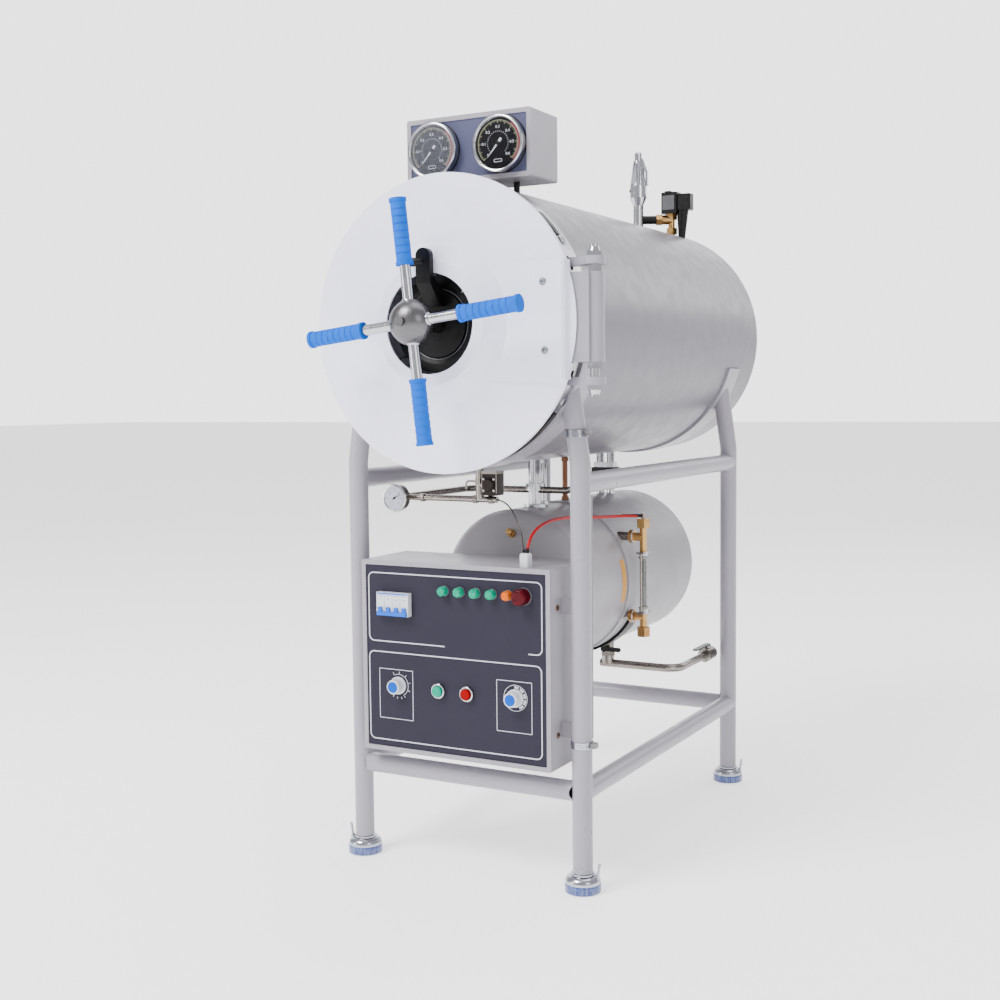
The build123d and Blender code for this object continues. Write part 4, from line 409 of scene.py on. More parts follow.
class Form:
    """Mesh in the making. A place is a local frame, and sizes in it are in millimetres."""

    def __init__(self):
        self.verts = []
        self.faces = []

    def add(self, place, points, faces):
        """Points in the frame of place, and faces that index them."""
        start = len(self.verts)
        self.verts += [place @ (Vector(p) / 1000) for p in points]
        self.faces += [[start + i for i in face] for face in faces]

    def lathe(self, place, profile, steps=40):
        """Turn (radius, height) points about the Z of place."""
        points, rows = [], []
        for radius, height in profile:
            count = steps if radius > 0 else 1
            rows.append([len(points) + i for i in range(count)])
            for i in range(count):
                angle = 2 * pi * i / count
                points.append((radius * cos(angle), radius * sin(angle), height))
        faces = []
        for low, high in zip(rows, rows[1:]):
            for i in range(steps):
                j = (i + 1) % steps
                ring = [low[i % len(low)], low[j % len(low)], high[j % len(high)], high[i % len(high)]]
                face = list(dict.fromkeys(ring))
                if len(face) > 2:
                    faces.append(face)
        self.add(place, points, faces)

    def prism(self, place, outline, low, high):
        """Straight prism on an outline in the XY of place."""
        n = len(outline)
        points = [(x, y, low) for x, y in outline] + [(x, y, high) for x, y in outline]
        faces = [list(range(n))[::-1], [n + i for i in range(n)]]
        faces += [[i, (i + 1) % n, n + (i + 1) % n, n + i] for i in range(n)]
        self.add(place, points, faces)

    def stroke(self, place, path, width, low, high, closed=False):
        """Flat line of that width along a path in the XY of place."""
        n = len(path)
        left, right = [], []
        for i in range(n):
            a = Vector(path[(i - 1) % n] if closed or i else path[0])
            b = Vector(path[(i + 1) % n] if closed or i < n - 1 else path[-1])
            along = (b - a).normalized()
            across = Vector((-along.y, along.x)) * width / 2
            left.append(Vector(path[i]) + across)
            right.append(Vector(path[i]) - across)
        points = []
        for level in (low, high):
            points += [(p.x, p.y, level) for p in left] + [(p.x, p.y, level) for p in right]
        faces = []
        for i in range(n if closed else n - 1):
            j = (i + 1) % n
            faces += [
                [i, n + i, n + j, j],
                [2 * n + i, 2 * n + j, 3 * n + j, 3 * n + i],
                [i, j, 2 * n + j, 2 * n + i],
                [n + i, 3 * n + i, 3 * n + j, n + j],
            ]
        if not closed:
            end = n - 1
            faces += [[0, 2 * n, 3 * n, n], [end, n + end, 3 * n + end, 2 * n + end]]
        self.add(place, points, faces)

    def tube(self, points, radius, steps=14):
        """Round bar through points given from the middle plane, the front leg plane and the floor."""
        spots = [Vector(p) for p in points]
        rings = []
        side = None
        for i, spot in enumerate(spots):
            along = (spots[min(i + 1, len(spots) - 1)] - spots[max(i - 1, 0)]).normalized()
            if side is None:
                side = along.orthogonal().normalized()
            side = (side - along * side.dot(along)).normalized()
            rise = along.cross(side)
            rings += [spot + (side * cos(2 * pi * k / steps) + rise * sin(2 * pi * k / steps)) * radius
                      for k in range(steps)]
        faces = [list(range(steps))[::-1], [len(rings) - steps + k for k in range(steps)]]
        for i in range(len(spots) - 1):
            for k in range(steps):
                j = (k + 1) % steps
                faces.append([i * steps + k, i * steps + j, (i + 1) * steps + j, (i + 1) * steps + k])
        start = len(self.verts)
        self.verts += [at(*p) for p in rings]
        self.faces += [[start + i for i in face] for face in faces]

    def digits(self, place, text, height, thickness):
        """Raised figures, centred on the origin of place."""
        curve = bpy.data.curves.new("figures", "FONT")
        curve.body = text
        curve.size = height
        curve.align_x = "CENTER"
        curve.align_y = "CENTER"
        curve.resolution_u = 2
        curve.extrude = thickness / 2
        obj = bpy.data.objects.new("figures", curve)
        mesh = bpy.data.meshes.new_from_object(obj)
        self.add(place, [v.co for v in mesh.vertices], [list(p.vertices) for p in mesh.polygons])
        bpy.data.objects.remove(obj)
        bpy.data.curves.remove(curve)
        bpy.data.meshes.remove(mesh)

    def piece(self, name, material, body="stand", soften=0.0):
        """Visible object that rides on body. soften is the width of the bevel on its edges."""
        mesh = bpy.data.meshes.new(name)
        mesh.from_pydata(self.verts, [], self.faces)
        work = bmesh.new()
        work.from_mesh(mesh)
        bmesh.ops.remove_doubles(work, verts=work.verts, dist=1e-7)
        bmesh.ops.recalc_face_normals(work, faces=work.faces)
        work.to_mesh(mesh)
        work.free()
        mesh.polygons.foreach_set("use_smooth", [True] * len(mesh.polygons))
        mesh.set_sharp_from_angle(angle=radians(32))
        mesh.materials.append(material)
        obj = bpy.data.objects.new(name, mesh)
        scene.collection.objects.link(obj)
        if soften:
            edge = obj.modifiers.new("edge", "BEVEL")
            edge.width = soften / 1000
            edge.segments = 2
            edge.limit_method = "ANGLE"
            edge.angle_limit = radians(40)
        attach(obj, body)


def arc(x, y, radius, start, end, steps=8):
    """Points on an arc, from start to end in degrees."""
    angles = [radians(start + (end - start) * i / steps) for i in range(steps + 1)]
    return [(x + radius * cos(angle), y + radius * sin(angle)) for angle in angles]


def ray(inner, outer, angle):
    """Ends of a line that points away from the origin."""
    a = radians(angle)
    return [(inner * cos(a), inner * sin(a)), (outer * cos(a), outer * sin(a))]


def collar(inner, outer, low, high):
    """Closed profile of a plain ring for Form.lathe."""
    return [(inner, low), (outer, low), (outer, high), (inner, high), (inner, low)]


def rounded(left, bottom, right, top, radius):
    """Closed outline of a rectangle with round corners, clockwise from the lower left one."""
    corners = (
        (left + radius, bottom + radius, 270),
        (left + radius, top - radius, 180),
        (right - radius, top - radius, 90),
        (right - radius, bottom + radius, 0),
    )
    outline = []
    for x, y, start in corners:
        outline += arc(x, y, radius, start, start - 90)
    return outline


def circle(radius, steps=48):
    """Outline of a round, without its last point twice."""
    return arc(0, 0, radius, 0, 360 - 360 / steps, steps - 1)


def rectangle(width, height, x=0.0, y=0.0):
    """Outline of a rectangle round the point x, y."""
    return [(x - width / 2, y - height / 2), (x + width / 2, y - height / 2),
            (x + width / 2, y + height / 2), (x - width / 2, y + height / 2)]


def hexagon(across_flats):
    """Outline of a regular hexagon."""
    return arc(0, 0, across_flats / sqrt(3), 0, 300, 5)


# Cables, on the routes of their CAD tubes.
heater_route = [(143, -22, 628), (144, -14, 652), (146, 14, 671), (149, 62, 681), (151, 136, 681),
                (150, 226, 673), (154, 302, 668), (165, 366, 665), (190, 420, 662)]
capillary_route = [(60, 20, 721), (76, 17, 718), (93, 9, 708), (108, 0, 693), (121, -9, 675),
                   (132, -17, 655), (137.5, -22, 628)]


def cable(name, node, route, diameter, material):
    """Smooth cord with the route's points as its control points."""
    curve = bpy.data.curves.new(name, "CURVE")
    curve.dimensions = "3D"
    curve.bevel_depth = diameter / 2000
    curve.bevel_resolution = 4
    curve.resolution_u = 12
    curve.use_fill_caps = True
    spline = curve.splines.new("NURBS")
    spline.points.add(len(route) - 1)
    for point, spot in zip(spline.points, route):
        point.co = (*at(*spot), 1.0)
    spline.order_u = 3
    spline.use_endpoint_u = True
    curve.materials.append(material)
    obj = bpy.data.objects.new(name, curve)
    scene.collection.objects.link(obj)
    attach(obj, "stand")
    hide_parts(node)


cable("heater_lead", "heater_cable", heater_route, 6.0, cable_red)
cable("capillary", "probe_capillary", capillary_route, 3.0, capillary_steel)


def cable_ends():
    """Black sleeve where the heater lead meets its terminal, and the boots where both cords meet the plug."""
    sleeve = Form()
    sleeve.tube([(166, 368, 665.2), (178, 395, 663.6), (188, 416, 662.2)], 3.5)
    sleeve.piece("lead_sleeve", black_plastic)
    boots = Form()
    boots.lathe(facing(143, -22, 627.5, (0.06, 0.3, 1)), [(0, 0), (4.4, 0), (4.2, 4), (3.4, 9), (0, 9)], 24)
    boots.lathe(facing(137.5, -22, 627.5, (-0.1, 0.1, 1)), [(0, 0), (2.9, 0), (2.7, 3), (1.9, 7), (0, 7)], 20)
    boots.piece("plug_boots", black_plastic, soften=0.3)


def scale_angle(i, count):
    """Angle of the i-th of count steps along the scale of a gauge."""
    return SCALE_START + (SCALE_END - SCALE_START) * i / count


def dial(name, x, marks, band, glass):
    """Black pressure dial with white figures, a red band, a needle and a glass."""
    paper = facing(x, DIAL_Y - 1.0, DIAL_Z)
    face = Form()
    face.lathe(facing(x, DIAL_Y, DIAL_Z), [(0, 0), (46.8, 0), (46.8, 0.6), (46.0, 1.0), (0, 1.0)], 64)
    face.piece(name + "_face", dial_black)
    fine = Form()
    for i in range(61):
        inner, width = (36.0, 1.0) if i % 5 == 0 else (38.5, 0.5)
        fine.stroke(paper, ray(inner, 41.5, scale_angle(i, 60)), width, 0, 0.25)
    fine.stroke(paper, arc(0, 0, 41.8, SCALE_START, SCALE_END, 60), 0.7, 0, 0.25)
    fine.piece(name + "_scale", ink_olive)
    figures = Form()
    for i, mark in enumerate(marks):
        right, up = ray(29.5, 0, scale_angle(i, len(marks) - 1))[0]
        figures.digits(facing(x + right, DIAL_Y - 1.15, DIAL_Z + up), mark, 7.6, 0.3)
    for i in range(25):
        figures.stroke(paper, ray(20.5, 23.0, scale_angle(i, 24)), 0.6, 0, 0.25)
    figures.stroke(paper, rounded(-8, -34, 8, -29, 1.5), 0.8, 0, 0.25, closed=True)
    figures.piece(name + "_figures", ink_white)
    red = Form()
    red.stroke(paper, arc(0, 0, 44.2, band, SCALE_END, 30), 3.4, 0, 0.3)
    red.piece(name + "_band", ink_red)
    needle = Form()
    tail, tip = ray(-11, 35, NEEDLE_ANGLE)
    across = ray(1, 1, NEEDLE_ANGLE + 90)[0]
    outline = [(tail[0] + 2.6 * across[0], tail[1] + 2.6 * across[1]),
               (tail[0] - 2.6 * across[0], tail[1] - 2.6 * across[1]),
               (-1.9 * across[0], -1.9 * across[1]), tip, (1.9 * across[0], 1.9 * across[1])]
    needle.prism(facing(x, DIAL_Y - 1.5, DIAL_Z), outline, 0, 0.5)
    needle.piece(name + "_needle", ink_white)
    hub = Form()
    hub.lathe(facing(x, DIAL_Y - 1.2, DIAL_Z), [(0, 0), (4.2, 0), (4.2, 0.9), (3.2, 1.5), (0, 1.6)], 24)
    hub.piece(name + "_hub", black_plastic)
    pane = Form()
    pane.lathe(facing(x, DIAL_Y - 2.6, DIAL_Z), [(0, 0), (47.3, 0), (47.3, 0.5), (0, 1.1)], 64)
    pane.piece(name + "_glass", glass)
    rim = Form()
    outside = [(47.4, 0), (52.7, 0), (52.7, 1.4), (51.6, 2.4), (50.0, 2.9)]
    inside = [(48.4, 2.4), (47.0, 0.6), (47.4, 0)]
    rim.lathe(facing(x, DIAL_Y - 2.0, DIAL_Z), outside + inside, 72)
    rim.piece(name + "_rim", chrome)
    seat = Form()
    seat.lathe(facing(x, DIAL_Y + 14.0, DIAL_Z), [(0, 0), (54.0, 0), (54.0, 1.5), (0, 1.6)], 64)
    seat.piece(name + "_seat", black_plastic)


def gauge_box_details():
    """The two pressure dials, the left one with a painted reflection in its paler glass."""
    marks = ["0", "0.1", "0.2", "0.3", "0.4", "0.5", "0.6"]
    dial("left_dial", -DIAL_X, marks, 48.0, painted_glare_glass)
    dial("right_dial", DIAL_X, marks, 52.0, dial_glass)


def panel_print():
    """White frames and scales printed on the control panel."""
    face = facing(0, PANEL_Y, 0)
    lines = Form()
    frame_low = 444
    gap_left, gap_right = -23.5, 156
    upper = rounded(-194, frame_low, 184, 577.6, 11)
    lines.stroke(face, [(gap_left, frame_low)] + upper + [(gap_right, frame_low)], 2.2, 0, PRINT_DEPTH)
    lines.stroke(face, rounded(-195, 250, 182.5, 423, 11), 2.2, 0, PRINT_DEPTH, closed=True)
    for knob_frame in ((-172, 293, -96, 390), (88.6, 295, 162, 391)):
        lines.stroke(face, rounded(*knob_frame, 1.0), 1.2, 0, PRINT_DEPTH, closed=True)
    lines.piece("panel_frames", ink_white)
    scales = Form()
    left = facing(-KNOB_X, PANEL_Y, KNOB_Z)
    scales.stroke(left, arc(0, 0, 21.5, -62, 118, 30), 1.0, 0, PRINT_DEPTH)
    for angle in (-58, -22, 14, 50, 86, 118, 240, 262, 284):
        scales.stroke(left, ray(23, 27, angle), 1.2, 0, PRINT_DEPTH)
    right = facing(KNOB_X, PANEL_Y, KNOB_Z)
    scales.stroke(right, circle(24.4), 0.9, 0, PRINT_DEPTH, closed=True)
    for start in (96, 62, 28, -6, -40):
        scales.stroke(right, arc(0, 0, 20.2, start, start - 26, 6), 4.2, 0, PRINT_DEPTH)
    scales.piece("knob_scales", ink_white)


def knob_caps():
    """Blue discs and pointer lines on the white knobs."""
    for body, x, pointer in (("mode_knob", -KNOB_X, 125), ("timer_knob", KNOB_X, 90)):
        front = (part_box(body)[0].y - FY) * 1000
        cap = Form()
        cap.lathe(facing(x, front + 0.6, KNOB_Z), [(0, 0), (10.8, 0), (10.8, 1.0), (10.2, 1.5), (0, 1.6)], 40)
        cap.piece(body + "_cap", cap_blue, body)
        line = Form()
        line.stroke(facing(x, front, KNOB_Z), ray(11.2, 13.4, pointer), 1.2, 0, PRINT_DEPTH)
        line.piece(body + "_pointer", edge_grey, body)


def breaker_details():
    """Print, pole lines and blue toggles with their tie bar on the four-pole breaker."""
    face = facing(BREAKER_X, BREAKER_Y, BREAKER_Z)
    poles = [(pole - 1.5) * POLE_PITCH for pole in range(4)]
    print_lines = Form()
    print_lines.prism(face, rectangle(70, 2.6, 0, 20.2), 0, 0.25)
    for x in poles:
        print_lines.prism(face, rectangle(10, 1.0, x, 16.6), 0, 0.25)
    print_lines.piece("breaker_print", toggle_blue)
    dots = Form()
    for x in poles[1:]:
        dots.prism(facing(BREAKER_X + x, BREAKER_Y, BREAKER_Z + 9.0), circle(1.3, 16), 0, 0.3)
    for x in (-POLE_PITCH, 0, POLE_PITCH):
        dots.stroke(face, [(x, -21), (x, 22)], 0.5, 0, 0.2)
    dots.piece("breaker_marks", edge_grey)
    toggles = Form()
    for x in poles:
        toggles.prism(face, rectangle(9.5, 9.5, x, -10.5), 0, 3.5)
    toggles.prism(face, rectangle(67, 7.5, 0, -18.2), 0, 5.0)
    toggles.piece("breaker_toggles", toggle_blue, soften=0.9)


def lamp_collars():
    """Dark collars of the lamps, stepped lenses over them and the ribs of the alarm lamp."""
    spots = [LAMP_X + LAMP_PITCH * i for i in range(5)]
    collars = Form()
    for x in spots:
        profile = [(9.1, 0), (10.6, 0), (10.6, 1.0), (9.9, 2.0), (9.1, 2.0), (9.1, 0)]
        collars.lathe(facing(x, PANEL_Y, LAMP_Z), profile, 36)
    profile = [(15.1, 0), (16.6, 0), (16.6, 1.5), (15.6, 2.8), (15.1, 2.8), (15.1, 0)]
    collars.lathe(facing(ALARM_X, PANEL_Y, LAMP_Z), profile, 40)
    collars.piece("lamp_collars", edge_grey)
    caps = Form()
    for x in spots[:4]:
        cap_rings(caps, x)
    caps.piece("lamp_caps", lamp_green)
    orange = Form()
    cap_rings(orange, spots[4])
    orange.piece("orange_cap", lamp_orange)
    ribs = Form()
    for i in range(ALARM_RIBS):
        right, up = ray(14.6, 0, 360 * i / ALARM_RIBS)[0]
        ribs.prism(facing(ALARM_X + right, PANEL_Y - 3, LAMP_Z + up), circle(1.0, 10), 0, 15)
    ribs.piece("alarm_ribs", lamp_red)


def cap_rings(form, x):
    """Stepped lens over a lamp body."""
    outside = [(9.2, 2.1), (9.2, 12.4), (8.6, 13.4), (8.6, 14.0), (7.0, 16.2), (0, 16.9)]
    inside = [(0, 16.2), (6.6, 15.4), (8.2, 13.2), (9.0, 12.0), (9.0, 2.1), (9.2, 2.1)]
    form.lathe(facing(x, PANEL_Y, LAMP_Z), outside + inside, 36)


def button_details():
    """Bright rims of the push buttons and their dished caps."""
    rims = Form()
    for x in (START_X, STOP_X):
        profile = [(11.3, 0), (14.5, 0), (14.5, 0.8), (13.4, 1.8), (11.9, 1.8), (11.3, 0.8), (11.3, 0)]
        rims.lathe(facing(x, BEZEL_Y, BUTTON_Z), profile, 44)
    rims.piece("button_rims", chrome)
    for body, x, material in (("start_button", START_X, button_green), ("stop_button", STOP_X, button_red)):
        cap = Form()
        cap.lathe(facing(x, BUTTON_Y, BUTTON_Z), [(0, 0), (9.2, 0), (8.9, 0.6), (8.0, 0.9), (0, 0.5)], 40)
        cap.piece(body + "_face", material, body)


def slotted_screw(form, slots, place, radius, height):
    """Pan head with a slot."""
    head = [(0, 0), (radius, 0), (radius, height * 0.4), (radius * 0.8, height * 0.9), (0, height)]
    form.lathe(place, head, 28)
    slots.prism(place, rectangle(radius * 1.4, radius * 0.26), height * 0.6, height + 0.1)


def box_screws():
    """Two screws and the front seam on the right side of the control box."""
    heads, slots = Form(), Form()
    for z, turn in ((529, 35), (292, -20)):
        slotted_screw(heads, slots, facing(BOX_SIDE_X, -17, z, RIGHT, turn), 5.6, 2.6)
    heads.piece("box_screws", screw_bronze)
    slots.piece("box_screw_slots", black_plastic)
    seam = Form()
    seam.stroke(facing(BOX_SIDE_X, 0, 0, RIGHT), [(-43.4, 230), (-43.4, 600)], 0.6, 0, 0.15)
    seam.piece("box_seam", edge_grey)


def cover_screws():
    """Two screws with washers on the arm cover."""
    washers, heads, slots = Form(), Form(), Form()
    thickness = 1.2
    for x, z, turn in ((218, 1114, 20), (221, 995, 65)):
        profile = [(0, 0), (7.0, 0), (7.0, 0.8), (6.4, thickness), (0, thickness)]
        washers.lathe(facing(x, HOOD_Y, z, turn=turn), profile, 30)
        slotted_screw(heads, slots, facing(x, HOOD_Y - thickness, z, turn=turn), 4.4, 3.0)
    washers.piece("cover_washers", chrome, "door")
    heads.piece("cover_screws", foot_chrome, "door")
    slots.piece("cover_screw_slots", black_plastic, "door")


def ring_plugs():
    """Round plugs with a slot on the side of the front ring."""
    plugs, slots = Form(), Form()
    for rise in (PLUG_RISE, -PLUG_RISE):
        angle = asin(rise / COLLAR_RADIUS)
        way = (cos(angle), 0, sin(angle))
        spot = facing(COLLAR_RADIUS * way[0], -25, AXIS_Z + COLLAR_RADIUS * way[2], way)
        plugs.lathe(spot, [(0, -0.4), (9.5, -0.4), (9.5, 1.6), (8.4, 2.8), (0, 3.0)], 36)
        slots.prism(spot, rectangle(3.0, 11.0), 2.4, 3.2)
    plugs.piece("ring_plugs", ring_steel)
    slots.piece("ring_plug_slots", black_plastic)


def rim_gap_shade():
    """Black bands on the front ring, painted shade of the gap that shows past the cover's rim, above and
    below the hinge.
    """
    shade_bands = Form()
    inner, outer = COLLAR_RADIUS - 0.4, COLLAR_RADIUS + 4.0
    # Painted shade: dark bands where the gap under the cover's rim lies in shadow.
    for start, end in ((35.0, 47.0), (-76.0, -38.0)):
        band = arc(0, 0, outer, start, end, 24) + arc(0, 0, inner, end, start, 24)
        shade_bands.prism(facing(0, -29, AXIS_Z), band, 0, 14.6)
    shade_bands.piece("rim_gap_shade", black_plastic, soften=0.4)


def wheel_details():
    """Rim line of the hub's ball, and collars where the spokes enter it."""
    line = Form()
    line.lathe(facing(0, WHEEL_Y - 5, AXIS_Z), collar(39.0, 40.7, -1.0, 1.0), 72)
    line.piece("hub_line", hub_steel, "handwheel")
    collars = Form()
    for quarter in range(4):
        a = radians(WHEEL_TURN + 90 * quarter)
        way = (cos(a), 0, sin(a))
        spot = facing(34.5 * way[0], WHEEL_Y, AXIS_Z + 34.5 * way[2], way)
        collars.lathe(spot, [(9.8, 0), (12.6, 0), (12.6, 3.6), (11.6, 5.6), (9.8, 6.2), (9.8, 0)], 32)
    collars.piece("spoke_collars", spoke_chrome, "handwheel")


def housing_details():
    """Two index marks and a thin line on the black lock housing."""
    marks = Form()
    for angle in (46.5, -42.5):
        marks.stroke(facing(0, HOUSING_Y, AXIS_Z), ray(76.5, 84.5, angle), 1.6, 0, 0.3)
    marks.piece("housing_marks", ink_white, "door")
    edge = Form()
    profile = [(62.8, 0), (64.4, 0), (64.4, 1.0), (63.6, 1.4), (62.8, 1.0), (62.8, 0)]
    edge.lathe(facing(0, HOUSING_Y + 3.0, AXIS_Z), profile, 72)
    edge.piece("housing_line", edge_grey, "door")


def tank_front(x, z):
    """Local frame on the tank's front dome, looking straight out of it."""
    reach = (TANK_RADIUS ** 2 + TANK_BULGE ** 2) / (2 * TANK_BULGE)
    middle = TANK_FRONT_Y - TANK_BULGE + reach
    depth = sqrt(reach ** 2 - x ** 2 - (z - TANK_Z) ** 2)
    way = Vector((x, -depth, z - TANK_Z)) / reach
    return facing(x, middle - depth, z, way)


def tank_details():
    """Brass probe with its black ring, weld bead, yellow strip and a small mark on the tank."""
    boss = tank_front(9, 637)
    ring = Form()
    ring.lathe(boss, [(8.6 + right, 3 + up) for right, up in arc(0, 0, 2.6, 0, 360)], 32)
    ring.piece("probe_ring", black_plastic, soften=0.2)
    probe = Form()
    probe.lathe(boss, [(0, -1), (8.4, -1), (8.4, 6), (6.5, 7), (0, 7)], 28)
    probe.prism(boss, hexagon(15), 7, 15)
    probe.lathe(boss, [(0, 15), (5.2, 15), (6.4, 18), (6.4, 25), (4.8, 28), (0, 28)], 24)
    probe.piece("tank_probe", brass, soften=0.5)
    dot = Form()
    dot.lathe(tank_front(-71.5, 591), [(0, -0.2), (1.7, -0.2), (1.7, 0.5), (0, 0.8)], 16)
    dot.piece("tank_dot", black_plastic)
    bead = Form()
    section = ((-0.5, 2.6), (0.4, 1.6), (0.8, 0), (0.4, -1.6), (-0.5, -2.6))
    bead.lathe(facing(0, TANK_FRONT_Y, TANK_Z), [(TANK_RADIUS + rise, along) for rise, along in section], 128)
    bead.piece("tank_weld", tank_paint)
    strip = Form()
    low, high = (degrees(asin((z - TANK_Z) / TANK_RADIUS)) for z in (482, 571))
    inner, outer = TANK_RADIUS - 0.2, TANK_RADIUS + 0.6
    band = arc(0, 0, inner, low, high, 10) + arc(0, 0, outer, high, low, 10)
    strip.prism(facing(0, 390, TANK_Z), band, 0, 20)
    strip.piece("tank_strip", strip_yellow)


def level_gauge_details():
    """White packing nuts and steel rings on the glass, its bore and water, and washers towards the tank."""
    nuts, rings = Form(), Form()
    for low in (454, 576):
        profile = [(7.2, 0), (9.2, 0.8), (9.2, 9.2), (7.2, 10), (7.2, 0)]
        nuts.lathe(facing(GLASS_X, GLASS_Y, low, UP), profile, 32)
    for low in (465.0, 571.5):
        rings.lathe(facing(GLASS_X, GLASS_Y, low, UP), collar(7.1, 10.4, 0, 3), 32)
    nuts.piece("glass_nuts", white_plastic)
    rings.piece("glass_rings", pipe_steel)
    back = Form()
    back.tube([(GLASS_X, GLASS_Y, 459), (GLASS_X, GLASS_Y, 581)], 3.4)
    back.piece("glass_bore", edge_grey)
    water = Form()
    water.tube([(GLASS_X, GLASS_Y, 459.5), (GLASS_X, GLASS_Y, 512)], 3.9)
    water.piece("glass_water", conduit_grey)
    washers = Form()
    for z in (447.0, 617.0):
        washers.lathe(facing(167.6, GLASS_Y, z, RIGHT), collar(6.0, 13.5, 0, 2.0), 32)
    washers.piece("level_washers", white_plastic)


def branch_pipe(name, material, y, foot, nut_foot, nut_radius):
    """Upright pipe between the tank and the vessel, with a nut at each end."""
    pipe = Form()
    pipe.tube([(0, y, z) for z in (foot,) + BRANCH_HEIGHTS], BRANCH_RADIUS)
    for low in (nut_foot, 774.0):
        pipe.lathe(facing(0, y, low, UP), collar(BRANCH_RADIUS, nut_radius, 0, 8), 6)
    pipe.piece(name, material, soften=0.4)


def vertical_pipes():
    """Thin steel and copper pipes between the tank and the vessel, and the black block on the return pipe."""
    branch_pipe("steam_branch", chrome, 334, 684, 686.0, 9.5)
    branch_pipe("copper_branch", copper, 435, 686, 689.0, 9.0)
    block = Form()
    block.prism(facing(0, 650, 716, UP), rounded(-30, -17, 30, 17, 4), 0, 34)
    block.piece("return_block", black_plastic, soften=1.0)


def exhaust_details():
    """Dark valve body with its cap and screws, and nuts on the exhaust pipe."""
    body = Form()
    body.prism(facing(VALVE_X, EXHAUST_Y, 729.5, UP), rounded(-16.4, -15.4, 16.4, 15.4, 3), 0, 41)
    body.lathe(facing(VALVE_X, 4.4, VALVE_Z), [(0, 0), (12, 0), (12, 4), (10.5, 6), (0, 6)], 28)
    body.piece("exhaust_valve_body", dark_iron, soften=0.8)
    heads, slots = Form(), Form()
    for x in (VALVE_X - 11, VALVE_X + 11):
        for z in (VALVE_Z - 11, VALVE_Z + 11):
            slotted_screw(heads, slots, facing(x, 4.5, z, turn=30), 2.6, 1.8)
    heads.piece("exhaust_screws", chrome)
    slots.piece("exhaust_screw_slots", black_plastic)
    collars = Form()
    for x in (-110, 8, 42):
        collars.lathe(facing(x, EXHAUST_Y, EXHAUST_Z, RIGHT), collar(5.8, 9.0, 0, 9), 6)
    collars.piece("exhaust_collars", pipe_steel, soften=0.5)


def thermometer_details():
    """White dial, scale, needle, glass and rim of the round thermometer."""
    x, front, z = THERMOMETER_SPOT
    place = facing(x, front, z)
    rim = Form()
    profile = [(22.6, 0), (27.2, 0), (27.2, 1.0), (26.0, 2.4), (24.2, 2.6), (22.6, 1.2), (22.6, 0)]
    rim.lathe(place, profile, 56)
    rim.piece("thermometer_rim", chrome)
    face = Form()
    face.lathe(place, [(0, 0), (22.7, 0), (22.7, 0.5), (0, 0.5)], 56)
    face.piece("thermometer_face", dial_white)
    scale = Form()
    for i in range(31):
        inner, width = (17.0, 0.7) if i % 5 == 0 else (18.6, 0.35)
        scale.stroke(facing(x, front - 0.5, z), ray(inner, 20.6, scale_angle(i, 30)), width, 0, 0.15)
    for i in range(7):
        right, up = ray(13.6, 0, scale_angle(i, 6))[0]
        scale.digits(facing(x + right, front - 0.6, z + up), str(25 * i), 3.6, 0.2)
    scale.piece("thermometer_scale", edge_grey)
    needle = Form()
    a = radians(THERMOMETER_ANGLE)
    along, across = Vector((cos(a), sin(a))), Vector((-sin(a), cos(a)))
    outline = [along * 18, across * 1.1, along * -6 + across * 0.7, along * -6 - across * 0.7, across * -1.1]
    needle.prism(facing(x, front - 0.7, z), [tuple(p) for p in outline], 0, 0.4)
    needle.lathe(facing(x, front - 0.7, z), [(0, 0), (2.4, 0), (2.4, 0.7), (0, 1.0)], 20)
    needle.piece("thermometer_needle", black_plastic)
    pane = Form()
    pane.lathe(facing(x, front - 1.4, z), [(0, 0), (23.6, 0), (23.6, 0.3), (0, 0.8)], 48)
    pane.piece("thermometer_glass", dial_glass)


def leg_clamp_details():
    """Bright worm-drive bands over the CAD clamps, the upper one on the leaning top of the leg."""
    bands, slots = Form(), Form()
    lean = radians(LEG_LEAN)
    lower, upper = CLAMP_HEIGHTS
    inset = (upper - LEG_BEND_Z) * tan(lean)
    outside = LEG_RADIUS + 1.5
    for x, z, way in ((LEG_X, lower, UP), (LEG_X - inset, upper, (-sin(lean), 0, cos(lean)))):
        spot = facing(x, 0, z, way)
        bands.lathe(spot, collar(LEG_RADIUS, outside, -0.2, 12.2), 56)
        for low in (3.4, 7.0):
            bead = [(20.8, low), (21.3, low + 0.4), (21.3, low + 1.2), (20.8, low + 1.6)]
            bands.lathe(spot, bead, 56)
        for i in range(9):
            slots.stroke(spot, ray(outside, outside + 0.6, -40 + 10 * i), 1.2, 2.0, 10.0)
    bands.piece("clamp_bands", foot_chrome)
    slots.piece("clamp_slots", edge_grey)


def foot_details():
    """Creased blue film left on the feet, and a raised ring on top of each foot."""
    skins, rings = Form(), Form()
    skin = [(33.4, 1.5), (33.9, 2.0), (33.9, 9.0), (34.1, 11.0), (33.8, 17.0), (33.4, 17.6)]
    ring = [(19.0, 33.0), (22.5, 33.0), (22.5, 35.5), (19.0, 36.5), (19.0, 33.0)]
    for x in (-LEG_X, LEG_X):
        for y in (0.0, LEG_PITCH):
            skins.lathe(facing(x, y, 0, UP), skin, 64)
            rings.lathe(facing(x, y, 0, UP), ring, 40)
    skins.piece("foot_films", foot_film)
    rings.piece("foot_rings", foot_chrome)


def safety_valve_details():
    """Dark outlet in the safety valve's body."""
    outlet = Form()
    place = facing(-17.2, 838, 1406, (-0.82, -0.57, 0))
    outlet.lathe(place, [(0, -1.2), (4.0, -1.2), (4.0, 0.2), (3.4, 0.6), (0, 0.2)], 24)
    outlet.piece("relief_outlet", black_plastic)


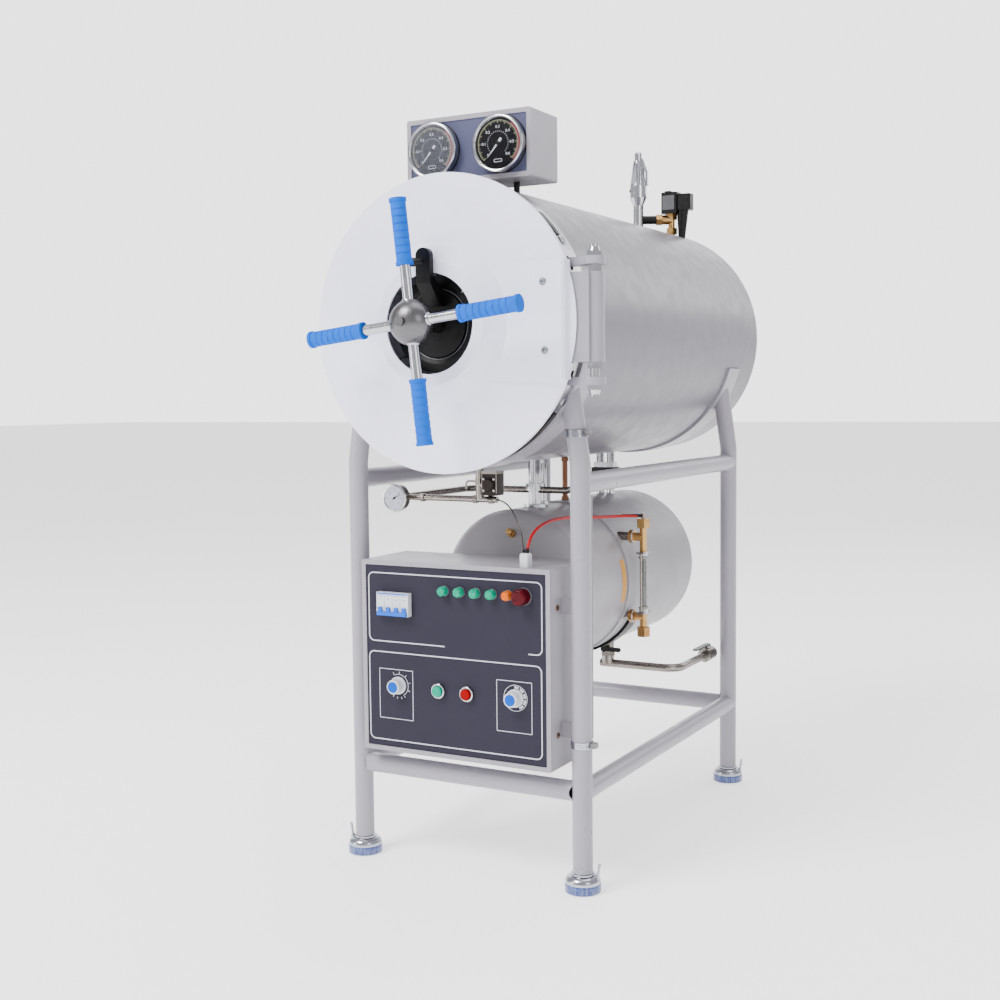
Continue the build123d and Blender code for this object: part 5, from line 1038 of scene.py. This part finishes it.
def inlet_details():
    """Slotted nut on the inlet valve's coil, and the raised panel on its front."""
    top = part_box("inlet_valve")[1].z * 1000
    screw, slot = Form(), Form()
    slotted_screw(screw, slot, facing(70, 890, top - 5.5, UP, 25), 4.5, 3.0)
    screw.piece("coil_nut", chrome)
    slot.piece("coil_nut_slot", black_plastic)
    panels = Form()
    panels.prism(facing(70, 868, top - 30), rounded(-15, -17, 15, 17, 2), 0, 0.8)
    panels.piece("coil_panel", edge_grey, soften=0.3)


def build_details():
    """All the pieces that the CAD model leaves to this script."""
    cable_ends()
    gauge_box_details()
    panel_print()
    knob_caps()
    breaker_details()
    lamp_collars()
    button_details()
    box_screws()
    cover_screws()
    ring_plugs()
    rim_gap_shade()
    wheel_details()
    housing_details()
    tank_details()
    level_gauge_details()
    vertical_pipes()
    exhaust_details()
    thermometer_details()
    leg_clamp_details()
    foot_details()
    safety_valve_details()
    inlet_details()


build_details()


def backdrop():
    """Even sky, brighter on the side that the camera looks at."""
    world = bpy.data.worlds.new("studio")
    scene.world = world
    world.use_nodes = True
    tree = world.node_tree
    sky = tree.nodes["Background"]
    where = tree.nodes.new("ShaderNodeTexCoord")
    ahead = tree.nodes.new("ShaderNodeVectorMath")
    ahead.operation = "DOT_PRODUCT"
    ahead.inputs[1].default_value = BACKDROP_WAY
    reach = tree.nodes.new("ShaderNodeMapRange")
    for socket, value in (("From Min", 0.55), ("From Max", 0.86), ("To Min", 0.75), ("To Max", 3.0)):
        reach.inputs[socket].default_value = value
    tree.links.new(where.outputs["Generated"], ahead.inputs[0])
    tree.links.new(ahead.outputs["Value"], reach.inputs["Value"])
    tree.links.new(reach.outputs["Result"], sky.inputs["Strength"])
    sky.inputs["Color"].default_value = (0.96, 0.97, 1.0, 1)


def studio():
    """Pale floor and soft lamps."""
    mesh = bpy.data.meshes.new("floor")
    corners = [(-1, -1), (1, -1), (1, 1), (-1, 1)]
    mesh.from_pydata([(x * FLOOR_HALF, y * FLOOR_HALF, 0) for x, y in corners], [], [(0, 1, 2, 3)])
    floor = bpy.data.objects.new("floor", mesh)
    scene.collection.objects.link(floor)
    m = Mat("floor_paint")
    m.base(m.ramp(m.noise(0.8, 3.0), (0.3, (0.9, 0.9, 0.905, 1)), (0.7, (0.93, 0.93, 0.93, 1))))
    m.rough(m.range(m.noise(3.0), 0.75, 0.9))
    m.bump(m.noise(90.0), 0.05, 0.0005)
    m.shader.inputs["Emission Color"].default_value = (1, 1, 1, 1)
    m.shader.inputs["Emission Strength"].default_value = 0.95
    mesh.materials.append(m.mat)
    for name, spot, size, power in (
        ("key", (-1.8, -3.8, 5.0), 2.4, 460.0),
        ("fill", (4.6, -3.0, 2.6), 2.2, 60.0),
        ("top", (0.4, 0.4, 4.6), 3.0, 90.0),
        ("back", (2.2, 4.4, 3.0), 2.2, 50.0),
        ("front", (-3.4, -3.4, 1.0), 1.6, 45.0),
    ):
        data = bpy.data.lights.new(name, "AREA")
        data.energy = power
        data.size = size
        lamp = bpy.data.objects.new(name, data)
        scene.collection.objects.link(lamp)
        lamp.location = spot
        aim = Vector(LAMP_AIM) - Vector(spot)
        lamp.rotation_mode = "QUATERNION"
        lamp.rotation_quaternion = aim.to_track_quat("-Z", "Y")


backdrop()
studio()
